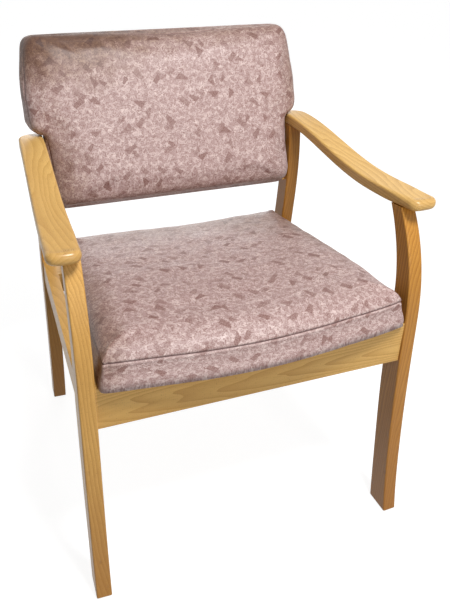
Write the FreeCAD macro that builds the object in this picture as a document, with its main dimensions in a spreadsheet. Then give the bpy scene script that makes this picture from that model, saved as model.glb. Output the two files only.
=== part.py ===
import FreeCAD, Part
import math
import os
from types import SimpleNamespace

import Sketcher
from FreeCAD import Placement, Rotation, Vector

# A beech-framed ward armchair: two closed side frames (curved front leg, armrest, side rail
# and rear post), toed in towards the back and joined by cross rails, with a bow-fronted seat
# pad that slopes to the rear and a raked back pad held on a bevelled rail between the posts.
# Millimetres. +Y runs from the front of the chair to its back, +Z is up, and +X is on the right
# for someone who faces the chair's front, so the pieces named right_ stand on +X. The origin is
# on the floor at the middle of the chair's plan box.

os.makedirs("parts", exist_ok=True)
doc = FreeCAD.newDocument("ward_armchair")

# ---------------------------------------------------------------------------------------
# Driving dimensions. Depths (..._y) are measured backwards from a datum line that crosses
# the front legs; heights (..._z) are measured from the floor.
# ---------------------------------------------------------------------------------------
SIZES = [
    # the two side frames
    ("frame_width", 600.0, "outside width over the front legs"),
    ("rear_width", 567.0, "outside width over the rear legs"),
    ("leg_thickness", 27.0, "thickness of all four legs across the chair"),
    ("leg_edge_radius", 2.5, "rounding of the legs' long edges"),
    ("glide_height", 4.0, "height of the nail-on glides under the feet"),
    # front leg: sabre foot, upright knee, top swept back under the armrest
    ("front_knee_y", -39.0, "front face of the front legs at the knee"),
    ("front_foot_reach", 39.0, "foot forward of the knee"),
    ("front_shin_reach", 18.0, "shin forward of the knee"),
    ("front_thigh_set", 7.5, "thigh behind the knee"),
    ("front_bend_set", 35.0, "bend below the armrest, behind the knee"),
    ("front_top_set", 71.0, "top under the armrest, behind the knee"),
    ("shin_z", 150.0, "height of the shin"),
    ("knee_z", 400.0, "height of the knee"),
    ("bend_drop", 58.4, "bend below the armrest's lowest point"),
    ("front_foot_depth", 50.0, "front leg, front to back, at the floor"),
    ("front_knee_depth", 46.5, "front leg, front to back, from shin to knee"),
    ("front_thigh_depth", 41.0, "front leg, front to back, at the thigh"),
    ("front_bend_depth", 37.0, "front leg, front to back, at the bend"),
    ("front_top_depth", 32.0, "front leg, front to back, at the armrest"),
    # rear leg: foot kicked back, waist drawn forward, post upright again under the armrest
    ("rear_knee_y", 434.0, "front face of the rear legs at the knee and under the armrest"),
    ("rear_foot_set", 42.0, "foot behind the knee"),
    ("rear_shin_set", 13.0, "shin behind the knee"),
    ("rear_waist_reach", 9.5, "waist forward of the knee"),
    ("rear_shin_z", 200.0, "height of the rear shin"),
    ("rear_waist_drop", 118.4, "waist below the armrest's lowest point"),
    ("rear_depth", 38.0, "rear leg, front to back"),
    # armrest: an S-curved board, wider at the nose, rounded at the tail
    ("arm_rise", 207.4, "lowest point of the armrest's top above the seat plane's front"),
    ("arm_dip_set", 177.0, "that point behind the armrest's nose"),
    ("arm_nose_reach", 39.0, "nose of the armrest in front of the front leg's top"),
    ("arm_nose_rise", 15.1, "top of the nose above the lowest point"),
    ("arm_neck_rise", 5.0, "top halfway from the nose to the lowest point, above that point"),
    ("arm_swell_rise", 8.5, "top halfway from the lowest point to the highest, above the lowest"),
    ("arm_crest_set", 77.0, "highest point of the armrest's top in front of the rear legs' backs"),
    ("arm_crest_rise", 19.9, "highest point above the lowest"),
    ("arm_tail_reach", 12.0, "tail of the armrest behind the rear legs' backs"),
    ("arm_tail_rise", 14.0, "top of the tail above the lowest point"),
    ("arm_thickness", 20.5, "thickness of the armrest"),
    ("arm_nose_width", 52.0, "width of the armrest at the nose"),
    ("arm_tail_width", 45.0, "width of the armrest at the tail"),
    ("arm_nose_bow", 5.0, "how far the nose bulges forward in plan"),
    ("arm_nose_radius", 16.0, "plan radius of the nose's corners"),
    ("arm_tail_radius", 36.0, "plan radius of the tail's outer corner"),
    ("arm_tail_inner_radius", 4.5, "plan radius of the tail's inner corner"),
    ("arm_top_radius", 4.0, "rounding of the armrest's top edges from the neck back"),
    ("arm_top_nose_radius", 9.0, "rounding of those edges round the nose"),
    ("arm_under_radius", 3.0, "rounding of the armrest's lower edges from the neck back"),
    ("arm_under_nose_radius", 9.5, "rounding of those edges round the nose"),
    # rails
    ("rail_thickness", 22.0, "thickness of the front, rear and side rails"),
    ("rail_edge_radius", 1.5, "rounding of the rails' long lower edges"),
    ("front_rail_inset", 3.0, "front rail's face behind the front legs' faces"),
    ("front_rail_height", 81.0, "height of the front rail below the seat plane"),
    ("rear_rail_inset", 4.0, "rear rail's front face behind the rear legs' front faces"),
    ("rear_rail_height", 50.0, "height of the rear rail"),
    ("side_rail_height", 50.0, "height of the side rails"),
    # seat pad: vinyl-covered foam wrapped round a plywood board, laid on the rails
    ("seat_front_z", 431.0, "seat plane at the front face of the front rail"),
    ("seat_slope", 4.1, "fall of the seat plane to the rear, in degrees"),
    ("seat_front_gap", 7.3, "gap between the pad's front corners and the legs' plane"),
    ("seat_rear_gap", 11.0, "gap between the pad's rear corners and the legs' plane"),
    ("seat_overlap", 7.0, "seat pad over the rear rail"),
    ("seat_inset", 5.0, "front corners of the pad behind the front rail's face"),
    ("seat_bow", 39.0, "how far the pad's front bows forward"),
    ("seat_pad_height", 62.0, "height of the seat pad with its board"),
    ("seat_corner_radius", 16.0, "plan radius of the seat pad's corners"),
    ("seat_top_radius", 15.0, "rounding of the seat pad's top edge"),
    ("board_thickness", 12.0, "plywood of the seat and back boards"),
    ("board_margin", 5.0, "pad beyond the edge of its board"),
    # back pad, in its own raked plane
    ("back_set", 20.0, "middle of the back pad's foot in front of the posts' waist"),
    ("back_lift", 64.0, "middle of the back pad's foot above the seat pad's top plane"),
    ("back_rake", 23.0, "lean of the back pad from upright, in degrees"),
    ("back_height", 326.0, "height of the back pad along its rake"),
    ("back_thickness", 68.0, "thickness of the back pad"),
    ("back_post_gap", 6.5, "gap between the back pad and the posts"),
    ("back_overhang", 27.5, "shoulders of the back pad out over the armrests"),
    ("back_taper", 8.5, "narrowing of each side from the shoulder to the top"),
    ("back_shoulder_gap", 0.8, "foot of the shoulders above the armrests' highest point"),
    ("back_shoulder_rise", 30.0, "height over which the pad widens to its shoulders"),
    ("back_corner_radius", 20.0, "radius of the pad's four corners"),
    ("back_front_radius", 17.0, "rounding of the pad's front edge"),
    ("outer_panel_thickness", 5.0, "covered panel that closes the back pad"),
    ("back_rail_height", 42.0, "bevelled back rail, up the rake of the pad"),
    ("back_rail_inset", 1.0, "back rail inside the rear face of the posts"),
    # joints
    ("dowel_diameter", 8.0, "dowels of the rails"),
    ("arm_dowel_diameter", 10.0, "dowels of the armrests"),
    ("dowel_leg_depth", 14.0, "dowel length in a leg or an armrest"),
    ("dowel_rail_depth", 22.0, "dowel length in a rail, or in a leg under an armrest"),
    ("dowel_pitch", 16.0, "spacing of the two dowels at each end of the side and back rails"),
    ("wide_dowel_pitch", 36.0, "spacing of the two dowels at each end of the front and rear rails"),
    ("bore_clearance", 0.1, "clearance round dowels, screws and bolts"),
    ("block_leg", 74.0, "leg of the triangular corner blocks"),
    ("block_height", 36.0, "height of the corner blocks"),
    ("screw_diameter", 4.0, "shank of the wood screws"),
    ("screw_head_diameter", 8.0, "head of the wood screws"),
    ("screw_head_height", 2.6, "height of the wood screws' heads"),
    ("block_screw_side", 34.0, "rail screws from the outer corner of their block, across the chair"),
    ("block_screw_rise", 20.0, "height of the rail screws above the blocks' undersides"),
    ("block_screw_grip", 15.0, "length of the rail screws inside their rail"),
    ("seat_screw_side", 48.0, "seat screws from the outer corner of their block, across the chair"),
    ("seat_screw_set", 28.0, "seat screws from the face of their rail"),
    ("seat_screw_grip", 9.0, "length of the seat screws inside the seat board"),
    ("back_screw_length", 32.0, "screws through the back rail into the back board"),
    ("back_screw_pitch", 150.0, "spacing of those screws"),
    ("bolt_diameter", 6.0, "bolts through the rear posts into the back board"),
    ("bolt_head_diameter", 13.0, "heads of those bolts"),
    ("bolt_head_height", 4.0, "height of those heads"),
    ("bolt_length", 75.0, "length of those bolts under the head"),
    ("bolt_height", 80.0, "height of those bolts up the back pad"),
    ("spacer_diameter", 14.0, "spacers between the posts and the back pad"),
    ("glide_diameter", 21.0, "diameter of the glides"),
    ("glide_nail_diameter", 3.0, "nail of the glides"),
    ("glide_nail_length", 16.0, "length of that nail"),
    ("fit_clearance", 0.3, "clearance round the soft pads where they pass other pieces"),
]

sheet = doc.addObject("Spreadsheet::Sheet", "sizes")
for row, (name, value, meaning) in enumerate(SIZES, 1):
    sheet.set(f"A{row}", meaning)
    sheet.set(f"B{row}", str(value))
    sheet.setAlias(f"B{row}", name)
doc.recompute()
d = SimpleNamespace(**{name: float(sheet.get(name)) for name, value, meaning in SIZES})

# ---------------------------------------------------------------------------------------
# Places that follow from the sizes
# ---------------------------------------------------------------------------------------
rake = math.radians(d.back_rake)
slope = math.radians(d.seat_slope)
toe = math.atan2((d.frame_width - d.rear_width) / 2, d.rear_knee_y)

front_foot_y = d.front_knee_y - d.front_foot_reach
front_top_y = d.front_knee_y + d.front_top_set
rear_foot_y = d.rear_knee_y + d.rear_foot_set
rear_waist_y = d.rear_knee_y - d.rear_waist_reach
front_rail_y = d.front_knee_y + d.front_rail_inset
rear_rail_y = d.rear_knee_y + d.rear_rail_inset
arm_nose_y = front_top_y - d.arm_nose_reach
arm_tail_y = d.rear_knee_y + d.rear_depth + d.arm_tail_reach
arm_dip_z = d.seat_front_z + d.arm_rise
seat_depth = (rear_rail_y + d.seat_overlap - front_rail_y) / math.cos(slope) - d.seat_inset


def seat_height(y):
    """Height of the seat plane at a depth behind the datum line."""
    return d.seat_front_z - (y - front_rail_y) * math.tan(slope)


def inner_face_x(y):
    """Half the distance between the side frames' inner faces at a depth."""
    return (d.frame_width - d.leg_thickness) / 2 - y * math.tan(toe) - d.leg_thickness / 2 / math.cos(toe)


back_foot_y = rear_waist_y - d.back_set
back_foot_z = seat_height(back_foot_y) + d.seat_pad_height + d.back_lift

# The chair's plan box runs from the front feet, whose rounded corners are turned by the toe-in,
# or from the seat's bow, to the back pad's upper rear edge.
seat_bow_y = front_rail_y + (d.seat_inset - d.seat_bow) * math.cos(slope)
foot_corner = (d.leg_thickness / 2 - d.leg_edge_radius) * math.sin(toe)
foot_extent = (front_foot_y + d.leg_edge_radius) * math.cos(toe) - foot_corner - d.leg_edge_radius
rear_extent = back_foot_y + d.back_height * math.sin(rake) + d.back_thickness / 2 * math.cos(rake)
plan_centre = (min(foot_extent, seat_bow_y) + rear_extent) / 2


def here(x, y, z):
    """A point of the chair, from its datum line to the origin of the finished part."""
    return Vector(x, y - plan_centre, z)


# The right-hand side frame stands in one upright plane: its own Y runs back along the
# frame, its X across the leg, and the left-hand frame is its mirror image.
TOE_IN = Rotation(Vector(0, 0, 1), math.degrees(toe))
SIDE = Placement(here((d.frame_width - d.leg_thickness) / 2, 0, 0), TOE_IN)
SEAT = Placement(here(0, front_rail_y, d.seat_front_z), Rotation(Vector(1, 0, 0), -d.seat_slope))
BACK = Placement(here(0, back_foot_y, back_foot_z), Rotation(Vector(1, 0, 0), -d.back_rake))
CHAIR = Placement(here(0, 0, 0), Rotation())


# ---------------------------------------------------------------------------------------
# Building helpers
# ---------------------------------------------------------------------------------------
def body(name, placement):
    """An empty body that stands at a placement."""
    made = doc.addObject("PartDesign::Body", name)
    made.Placement = placement
    return made


def sketch(owner, role, curves, name="outline"):
    """A closed outline on one of a body's origin planes, its curves joined end to end."""
    plane = next(f for f in owner.Origin.OriginFeatures if f.Role == role)
    made = owner.newObject("Sketcher::SketchObject", f"{owner.Name}_{name}")
    made.AttachmentSupport = [(plane, "")]
    made.MapMode = "FlatFace"
    for loop in curves if isinstance(curves[0], list) else [curves]:
        ids = [made.addGeometry(curve, False) for curve in loop]
        for this, following in zip(ids, ids[1:] + ids[:1]):
            ends = [(a, b) for a in (1, 2) for b in (1, 2)]
            near = [made.getPoint(this, a).distanceToPoint(made.getPoint(following, b)) for a, b in ends]
            a, b = ends[near.index(min(near))]
            made.addConstraint(Sketcher.Constraint("Coincident", this, a, following, b))
    return made


def polygon(*points):
    """Straight edges round a list of (x, y) points."""
    corners = [Vector(x, y, 0) for x, y in points]
    return [Part.LineSegment(a, b) for a, b in zip(corners, corners[1:] + corners[:1])]


def spline(*points):
    """A smooth curve through (x, y) points."""
    curve = Part.BSplineCurve()
    curve.interpolate([Vector(x, y, 0) for x, y in points])
    return curve


def pad(owner, outline, length, symmetric=True, backwards=False):
    """Material of an outline, its length an expression on the sheet."""
    made = owner.newObject("PartDesign::Pad", f"{owner.Name}_pad")
    made.Profile = outline
    made.SideType = "Symmetric" if symmetric else "One side"
    made.Reversed = backwards
    made.setExpression("Length", length)
    doc.recompute()
    return made


def pocket(owner, outline, length=None, backwards=False):
    """Material taken out of a body: to a depth, or right through both ways."""
    before = owner.Shape.Volume
    made = owner.newObject("PartDesign::Pocket", f"{owner.Name}_pocket")
    made.Profile = outline
    if length is None:
        made.Type = "ThroughAll"
        made.SideType = "Symmetric"
    else:
        made.Reversed = backwards
        made.setExpression("Length", length)
    doc.recompute()
    assert owner.Shape.Volume < before - 1, f"{owner.Name}: the pocket cut nothing"
    return made


def fillet(owner, chosen, radius):
    """Rounding of the edges of a body's tip for which chosen(edge) holds."""
    tip = owner.Tip
    names = [f"Edge{i}" for i, edge in enumerate(tip.Shape.Edges, 1) if chosen(edge)]
    assert names, f"{owner.Name}: no edge to round"
    made = owner.newObject("PartDesign::Fillet", f"{owner.Name}_fillet")
    made.Base = (tip, names)
    made.setExpression("Radius", radius)
    doc.recompute()
    return made


def middle(edge):
    """The point halfway along an edge."""
    return edge.valueAt((edge.FirstParameter + edge.LastParameter) / 2)


def runs_along(edge, axis):
    """Whether an edge is straight and parallel to an axis."""
    ends = edge.Vertexes
    if len(ends) < 2:
        return False
    span = ends[-1].Point - ends[0].Point
    return abs(abs(span.dot(axis)) - edge.Length) < 1e-6 * max(1.0, edge.Length)


def cylinder(name, radius, length, placement):
    """A round bar along its placement's Z, its sizes expressions on the sheet."""
    made = doc.addObject("Part::Cylinder", name)
    made.setExpression("Radius", radius)
    made.setExpression("Height", length)
    made.Placement = placement
    return made


def group(name, *members):
    """Separate solids kept as one sub-part or used as one tool."""
    made = doc.addObject("Part::Compound", name)
    made.Links = list(members)
    return made


def mirrored(name, source):
    """The same piece on the other side of the chair."""
    made = doc.addObject("Part::Mirroring", name)
    made.Source = source
    made.Normal = Vector(1, 0, 0)
    made.Base = here(0, 0, 0)
    return made


def both(name, *sources):
    """Pieces together with their mirror images."""
    return group(name, *sources, *(mirrored(f"{s.Name}_opposite", s) for s in sources))


def cut(name, base, *tools):
    """A piece scribed to its neighbours and drilled: what its tools leave of it."""
    for number, tool in enumerate(tools, 1):
        made = doc.addObject("Part::Cut", f"{name}_{number}")
        made.Base = base
        made.Tool = tool
        base = made
    return base


NODES = {}


def keep(name, source):
    """Register an object as the sub-part of a name."""
    source.Label = name
    NODES[name] = source
    return source


def keep_pair(name, right):
    """Register a right-hand piece and its mirror image on the left."""
    keep(f"right_{name}", right)
    keep(f"left_{name}", mirrored(f"mirror_{name}", right))


# ---------------------------------------------------------------------------------------
# Armrest: the side view is padded across, the plan is then cut out of it, as on a bandsaw,
# and the edges are rounded over, ever more from the neck to the nose
# ---------------------------------------------------------------------------------------
arm_half = d.leg_thickness / 2
arm_reach = d.arm_nose_width - arm_half
arm_run_out = d.arm_nose_bow  # the side view runs past both ends, which the plan then cuts
arm_dip_y = arm_nose_y + d.arm_dip_set
arm_neck_y = (arm_nose_y + arm_dip_y) / 2
arm_crest_y = d.rear_knee_y + d.rear_depth - d.arm_crest_set
arm_stations = [
    (arm_nose_y - arm_run_out, arm_dip_z + d.arm_nose_rise),
    (arm_neck_y, arm_dip_z + d.arm_neck_rise),
    (arm_dip_y, arm_dip_z),
    ((arm_dip_y + arm_crest_y) / 2, arm_dip_z + d.arm_swell_rise),
    (arm_crest_y, arm_dip_z + d.arm_crest_rise),
    (arm_tail_y + arm_run_out, arm_dip_z + d.arm_tail_rise),
]
arm_top = spline(*arm_stations)
arm_under = spline(*((y, z - d.arm_thickness) for y, z in arm_stations))


def crossing(curve, start, direction):
    """Where a curve of a side view crosses a straight line."""
    line = Part.LineSegment(start - direction * d.frame_width, start + direction * d.frame_width)
    return curve.intersect(line)[0]


def arm_height(y):
    """Height of the armrest's top at a distance along the side frame."""
    return crossing(arm_top, Vector(y, arm_dip_z, 0), Vector(0, 1, 0)).Y


def at_neck(curve):
    """A curve of the armrest's side view in two pieces: nose to neck and neck to tail."""
    neck = curve.parameter(Vector(arm_neck_y, arm_dip_z, 0))
    nose, rest = curve.copy(), curve.copy()
    nose.segment(curve.FirstParameter, neck)
    rest.segment(neck, curve.LastParameter)
    return nose, rest


nose_top, tail_top = arm_top.StartPoint, arm_top.EndPoint
nose_under, tail_under = arm_under.StartPoint, arm_under.EndPoint
nose_line = Part.LineSegment(nose_under, nose_top)
tail_line = Part.LineSegment(tail_top, tail_under)
arm_side = [*at_neck(arm_top), tail_line, *reversed(at_neck(arm_under)), nose_line]

armrest = body("armrest", SIDE)
pad(armrest, sketch(armrest, "YZ_Plane", arm_side), "4 * sizes.arm_nose_width")

nose_in = (-arm_half, arm_nose_y + d.arm_nose_bow)
nose_out = (arm_reach, arm_nose_y + d.arm_nose_bow)
tail_in = (-arm_half, arm_tail_y)
tail_out = (d.arm_tail_width - arm_half, arm_tail_y)
nose_mid = ((nose_in[0] + nose_out[0]) / 2, arm_nose_y)
arm_plan = [
    Part.Arc(Vector(*nose_in, 0), Vector(*nose_mid, 0), Vector(*nose_out, 0)),
    Part.LineSegment(Vector(*nose_out, 0), Vector(*tail_out, 0)),
    Part.LineSegment(Vector(*tail_out, 0), Vector(*tail_in, 0)),
    Part.LineSegment(Vector(*tail_in, 0), Vector(*nose_in, 0)),
]
far = 3 * d.arm_nose_width
ahead, behind = arm_nose_y - far, arm_tail_y + far
waste = polygon((-far, ahead), (far, ahead), (far, behind), (-far, behind))
pocket(armrest, sketch(armrest, "XY_Plane", [waste, arm_plan], "plan"))

UP = Vector(0, 0, 1)


def upright_at(x, y):
    """Picks the upright edge of a body that stands at a point of its plan."""
    def chosen(edge):
        point = middle(edge)
        return runs_along(edge, UP) and math.hypot(point.x - x, point.y - y) < 0.5
    return chosen


# The armrest's features work in the body's own coordinates.
fillet(armrest, upright_at(*tail_out), "sizes.arm_tail_radius")
fillet(armrest, upright_at(*tail_in), "sizes.arm_tail_inner_radius")
fillet(armrest, upright_at(*nose_out), "sizes.arm_nose_radius")
fillet(armrest, upright_at(*nose_in), "sizes.arm_nose_radius")


def roll_over(offset, at_nose, elsewhere):
    """Numbers and radii of the edges of the armrest's top (offset 0) or underside (its thickness).
    The long inner edge comes first and sets the way round: forwards along the inner side and
    back along the outer. Each edge's two radii are in that order."""
    nose_end = arm_nose_y + d.arm_nose_radius + d.arm_nose_bow
    rolls = []
    for number, edge in enumerate(armrest.Tip.Shape.Edges, 1):
        point = middle(edge)
        at_height = abs(arm_height(point.y) - offset - point.z) < d.arm_under_radius / 2
        across_neck = abs(point.y - arm_neck_y) < arm_half / 2
        if runs_along(edge, UP) or across_neck or not at_height:
            continue
        ends = sorted((vertex.Point.y for vertex in edge.Vertexes), reverse=point.x < 0)
        radii = [at_nose if y < nose_end else elsewhere for y in ends]
        rolls.append((round(point.x, 1), -point.y, number, *radii))
    return [roll[2:] for roll in sorted(rolls)]


armrest_rolled = doc.addObject("Part::Fillet", "armrest_rolled")
armrest_rolled.Base = armrest
armrest_rolled.Edges = [
    *roll_over(0, d.arm_top_nose_radius, d.arm_top_radius),
    *roll_over(d.arm_thickness, d.arm_under_nose_radius, d.arm_under_radius),
]

# The room that the armrest takes, square-edged, to scribe the legs' tops to its underside.
arm_space = doc.addObject("Part::Feature", "arm_space")
arm_face = Part.Face(Part.Wire([curve.toShape() for curve in arm_side]))
arm_face.Placement = Placement(Vector(-arm_half * 2, 0, 0), Rotation(Vector(1, 1, 1), 120))
arm_space.Shape = arm_face.extrude(Vector(arm_half * 4, 0, 0))
arm_space.Placement = SIDE

# ---------------------------------------------------------------------------------------
# Legs: both faces are smooth curves through the stations
# ---------------------------------------------------------------------------------------
ACROSS = Vector(1, 0, 0)


def front_face(stations):
    """The curve of a leg's front face."""
    return spline(*((y, z) for y, depth, z in stations))


def rear_face(stations):
    """The curve of a leg's rear face."""
    return spline(*((y + depth, z) for y, depth, z in stations))


def leg(name, stations):
    """A leg of the side frame from (front face y, depth, z) stations, foot first."""
    made = body(name, SIDE)
    front = front_face(stations)
    rear = rear_face(stations)
    top = Part.LineSegment(front.EndPoint, rear.EndPoint)
    foot = Part.LineSegment(rear.StartPoint, front.StartPoint)
    pad(made, sketch(made, "YZ_Plane", [front, top, rear, foot]), "sizes.leg_thickness")
    low, high = stations[0][2], stations[-1][2]

    def long_edge(edge):
        return low + 1 < middle(edge).z < high - 1 and not runs_along(edge, ACROSS)

    fillet(made, long_edge, "sizes.leg_edge_radius")
    return made


def arm_middle(y):
    """Height halfway through the armrest, where the legs' blanks end."""
    return arm_height(y) - d.arm_thickness / 2


bend_z = arm_dip_z - d.bend_drop
front_stations = [
    (front_foot_y, d.front_foot_depth, d.glide_height),
    (d.front_knee_y - d.front_shin_reach, d.front_knee_depth, d.shin_z),
    (d.front_knee_y, d.front_knee_depth, d.knee_z),
    (d.front_knee_y + d.front_thigh_set, d.front_thigh_depth, (d.knee_z + bend_z) / 2),
    (d.front_knee_y + d.front_bend_set, d.front_bend_depth, bend_z),
    (front_top_y, d.front_top_depth, arm_middle(front_top_y + d.front_top_depth / 2)),
]
rear_stations = [
    (rear_foot_y, d.rear_depth, d.glide_height),
    (d.rear_knee_y + d.rear_shin_set, d.rear_depth, d.rear_shin_z),
    (d.rear_knee_y, d.rear_depth, d.knee_z),
    (rear_waist_y, d.rear_depth, arm_dip_z - d.rear_waist_drop),
    (d.rear_knee_y, d.rear_depth, arm_middle(d.rear_knee_y + d.rear_depth / 2)),
]
front_leg = leg("front_leg", front_stations)
rear_leg = leg("rear_leg", rear_stations)
front_legs = both("front_legs", front_leg)
rear_legs = both("rear_legs", rear_leg)

# ---------------------------------------------------------------------------------------
# Rails: blanks that run into the legs and above the seat plane, then scribed to both
# ---------------------------------------------------------------------------------------
seat_space = doc.addObject("Part::Box", "seat_space")
seat_space.setExpression("Length", "2 * sizes.frame_width")
seat_space.setExpression("Width", "2 * sizes.frame_width")
seat_space.setExpression("Height", "4 * sizes.seat_pad_height")
seat_space.Placement = SEAT.multiply(Placement(Vector(-d.frame_width, -d.frame_width / 2, 0), Rotation()))

TRIM = d.seat_pad_height / 2  # how far the blanks rise above the seat plane


def cross_rail(name, y, low, over_legs):
    """A rail across the chair, from its front face, its underside and the width over its legs."""
    made = body(name, CHAIR)
    high = d.seat_front_z + TRIM
    outline = polygon((y, low), (y + d.rail_thickness, low), (y + d.rail_thickness, high), (y, high))
    pad(made, sketch(made, "YZ_Plane", outline), f"sizes.{over_legs} - sizes.leg_thickness")

    def lower_edge(edge):
        return abs(middle(edge).z - low) < 0.1 and runs_along(edge, ACROSS)

    fillet(made, lower_edge, "sizes.rail_edge_radius")
    return made


front_rail_z = d.seat_front_z - d.front_rail_height
rear_rail_z = seat_height(rear_rail_y) - d.rear_rail_height
front_rail = cross_rail("front_rail_blank", front_rail_y, front_rail_z, "frame_width")
rear_rail = cross_rail("rear_rail_blank", rear_rail_y, rear_rail_z, "rear_width")

side_rail = body("side_rail_blank", SIDE)
rail_start = d.front_knee_y + d.front_knee_depth / 2
rail_end = d.rear_knee_y + d.rear_depth / 2
rail_side = polygon(
    (rail_start, seat_height(rail_start) - d.side_rail_height),
    (rail_end, seat_height(rail_end) - d.side_rail_height),
    (rail_end, seat_height(rail_end) + TRIM),
    (rail_start, seat_height(rail_start) + TRIM),
)
pad(side_rail, sketch(side_rail, "YZ_Plane", rail_side), "sizes.rail_thickness")


def side_rail_underside(edge):
    """The two long lower edges of the side rail's blank."""
    point = middle(edge)
    under = seat_height(point.y) - d.side_rail_height
    return abs(point.z - under) < 0.1 and abs(point.x) > 1 and rail_start + 1 < point.y < rail_end - 1


fillet(side_rail, side_rail_underside, "sizes.rail_edge_radius")

# The bevelled rail that carries the back pad: its front follows the pad's rear plane and its
# back is upright, just inside the rear faces of the posts.
def back_point(up, depth):
    """Depth and height of a point of the back pad's own plane."""
    y = back_foot_y + up * math.sin(rake) + depth * math.cos(rake)
    return (y, back_foot_z + up * math.cos(rake) - depth * math.sin(rake))


post_rear_y = rear_waist_y + d.rear_depth - d.back_rail_inset
rail_low = back_point(0, d.back_thickness / 2)
rail_high = back_point(d.back_rail_height, d.back_thickness / 2)
back_rail = body("back_rail_blank", CHAIR)
back_rail_outline = polygon(rail_low, (post_rear_y, rail_low[1]), (post_rear_y, rail_high[1]), rail_high)
pad(back_rail, sketch(back_rail, "YZ_Plane", back_rail_outline), "sizes.rear_width - sizes.leg_thickness")

# ---------------------------------------------------------------------------------------
# Corner blocks: triangles glued and screwed into the four corners of the seat frame
# ---------------------------------------------------------------------------------------
def corner_block(name, y, direction, low):
    """A triangular block behind (direction 1) or in front of (-1) a cross rail's face."""
    made = body(name, CHAIR)
    corner = inner_face_x(y) + d.leg_thickness / 3
    nose = d.rail_thickness / 2
    outline = polygon(
        (corner, y), (corner - d.block_leg, y), (corner - d.block_leg, y + direction * nose),
        (corner - nose, y + direction * d.block_leg), (corner, y + direction * d.block_leg),
    )
    plan = sketch(made, "XY_Plane", outline)
    plan.AttachmentOffset = Placement(Vector(0, 0, low), Rotation())
    pad(made, plan, "sizes.block_height + 2 * sizes.seat_pad_height", symmetric=False)
    return made


front_rail_rear_y = front_rail_y + d.rail_thickness
front_block_z = seat_height(front_rail_rear_y) - d.block_height
rear_block_z = seat_height(rear_rail_y) - d.block_height
front_block = corner_block("front_block", front_rail_rear_y, 1, front_block_z)
rear_block = corner_block("rear_block", rear_rail_y, -1, rear_block_z)

# ---------------------------------------------------------------------------------------
# Dowels, screws, bolts and glides, each with the bore that it needs
# ---------------------------------------------------------------------------------------
ALONG_X = Rotation(Vector(0, 1, 0), 90)
ALONG_Y = Rotation(Vector(1, 0, 0), -90)
END_ROOM = 1.0  # a dowel's bore is this much longer than the dowel at each end


def dowel(name, at, turn, diameter, first, second, frame=CHAIR):
    """A dowel and its bore: at is where the two pieces meet, first the length before it."""
    joint = frame.multiply(Placement(at, turn))
    start = joint.multiply(Placement(Vector(0, 0, -getattr(d, first)), Rotation()))
    deeper = joint.multiply(Placement(Vector(0, 0, -getattr(d, first) - END_ROOM), Rotation()))
    radius = f"sizes.{diameter} / 2"
    length = f"sizes.{first} + sizes.{second}"
    pin = cylinder(name, radius, length, start)
    bore_length = f"{length} + {2 * END_ROOM}"
    return pin, cylinder(f"{name}_bore", f"{radius} + sizes.bore_clearance", bore_length, deeper)


front_mid_y = front_rail_y + d.rail_thickness / 2
rear_mid_y = rear_rail_y + d.rail_thickness / 2
front_rail_mid_z = (front_rail_z + seat_height(front_rail_rear_y)) / 2
rear_rail_mid_z = rear_rail_z + d.rear_rail_height / 2
back_rail_mid_z = (rail_low[1] + rail_high[1]) / 2


def back_rail_middle(z):
    """The middle of the back rail's thickness at a height, behind its bevel."""
    bevel_y = rail_low[0] + (z - rail_low[1]) * math.tan(rake)
    return (bevel_y + post_rear_y) / 2


def rail_end_dowel(name, y, z):
    """A dowel in a cross rail's right-hand end, and its bore."""
    at = Vector(inner_face_x(y), y, z)
    return dowel(name, at, ALONG_X, "dowel_diameter", "dowel_rail_depth", "dowel_leg_depth")


front_dowels, rear_dowels, back_dowels = [], [], []
for step in (-0.5, 0.5):
    z = front_rail_mid_z + step * d.wide_dowel_pitch
    front_dowels.append(rail_end_dowel("front_rail_dowel", front_mid_y, z))
    z = rear_rail_mid_z + step * d.wide_dowel_pitch
    rear_dowels.append(rail_end_dowel("rear_rail_dowel", rear_mid_y, z))
    z = back_rail_mid_z + step * d.dowel_pitch
    back_dowels.append(rail_end_dowel("back_rail_dowel", back_rail_middle(z), z))



def side_rail_dowels(name, face, y, first, second):
    """The two dowels at one end of a side rail, where a leg's face crosses them."""
    made = []
    for step in (-0.5, 0.5):
        z = seat_height(y) - d.side_rail_height / 2 + step * d.dowel_pitch
        at = Vector(0, crossing(face, Vector(y, z, 0), ACROSS).X, z)
        made.append(dowel(f"{name}_dowel", at, ALONG_Y, "dowel_diameter", first, second, SIDE))
    return made


side_front_dowels = side_rail_dowels(
    "side_front", rear_face(front_stations), rail_start, "dowel_leg_depth", "dowel_rail_depth")
side_rear_dowels = side_rail_dowels(
    "side_rear", front_face(rear_stations), rail_end, "dowel_rail_depth", "dowel_leg_depth")


def arm_dowel(name, y):
    """The dowel and its bore that hold an armrest on a leg's top."""
    at = Vector(0, y, arm_height(y) - d.arm_thickness)
    return dowel(name, at, Rotation(), "arm_dowel_diameter", "dowel_rail_depth", "dowel_leg_depth", SIDE)


# The front leg leans back under the armrest, so its dowel stands towards the leg's front.
front_arm_dowel = arm_dowel("front_arm_dowel", front_top_y + d.front_top_depth / 3)
rear_arm_dowel = arm_dowel("rear_arm_dowel", d.rear_knee_y + d.rear_depth / 2)


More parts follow.
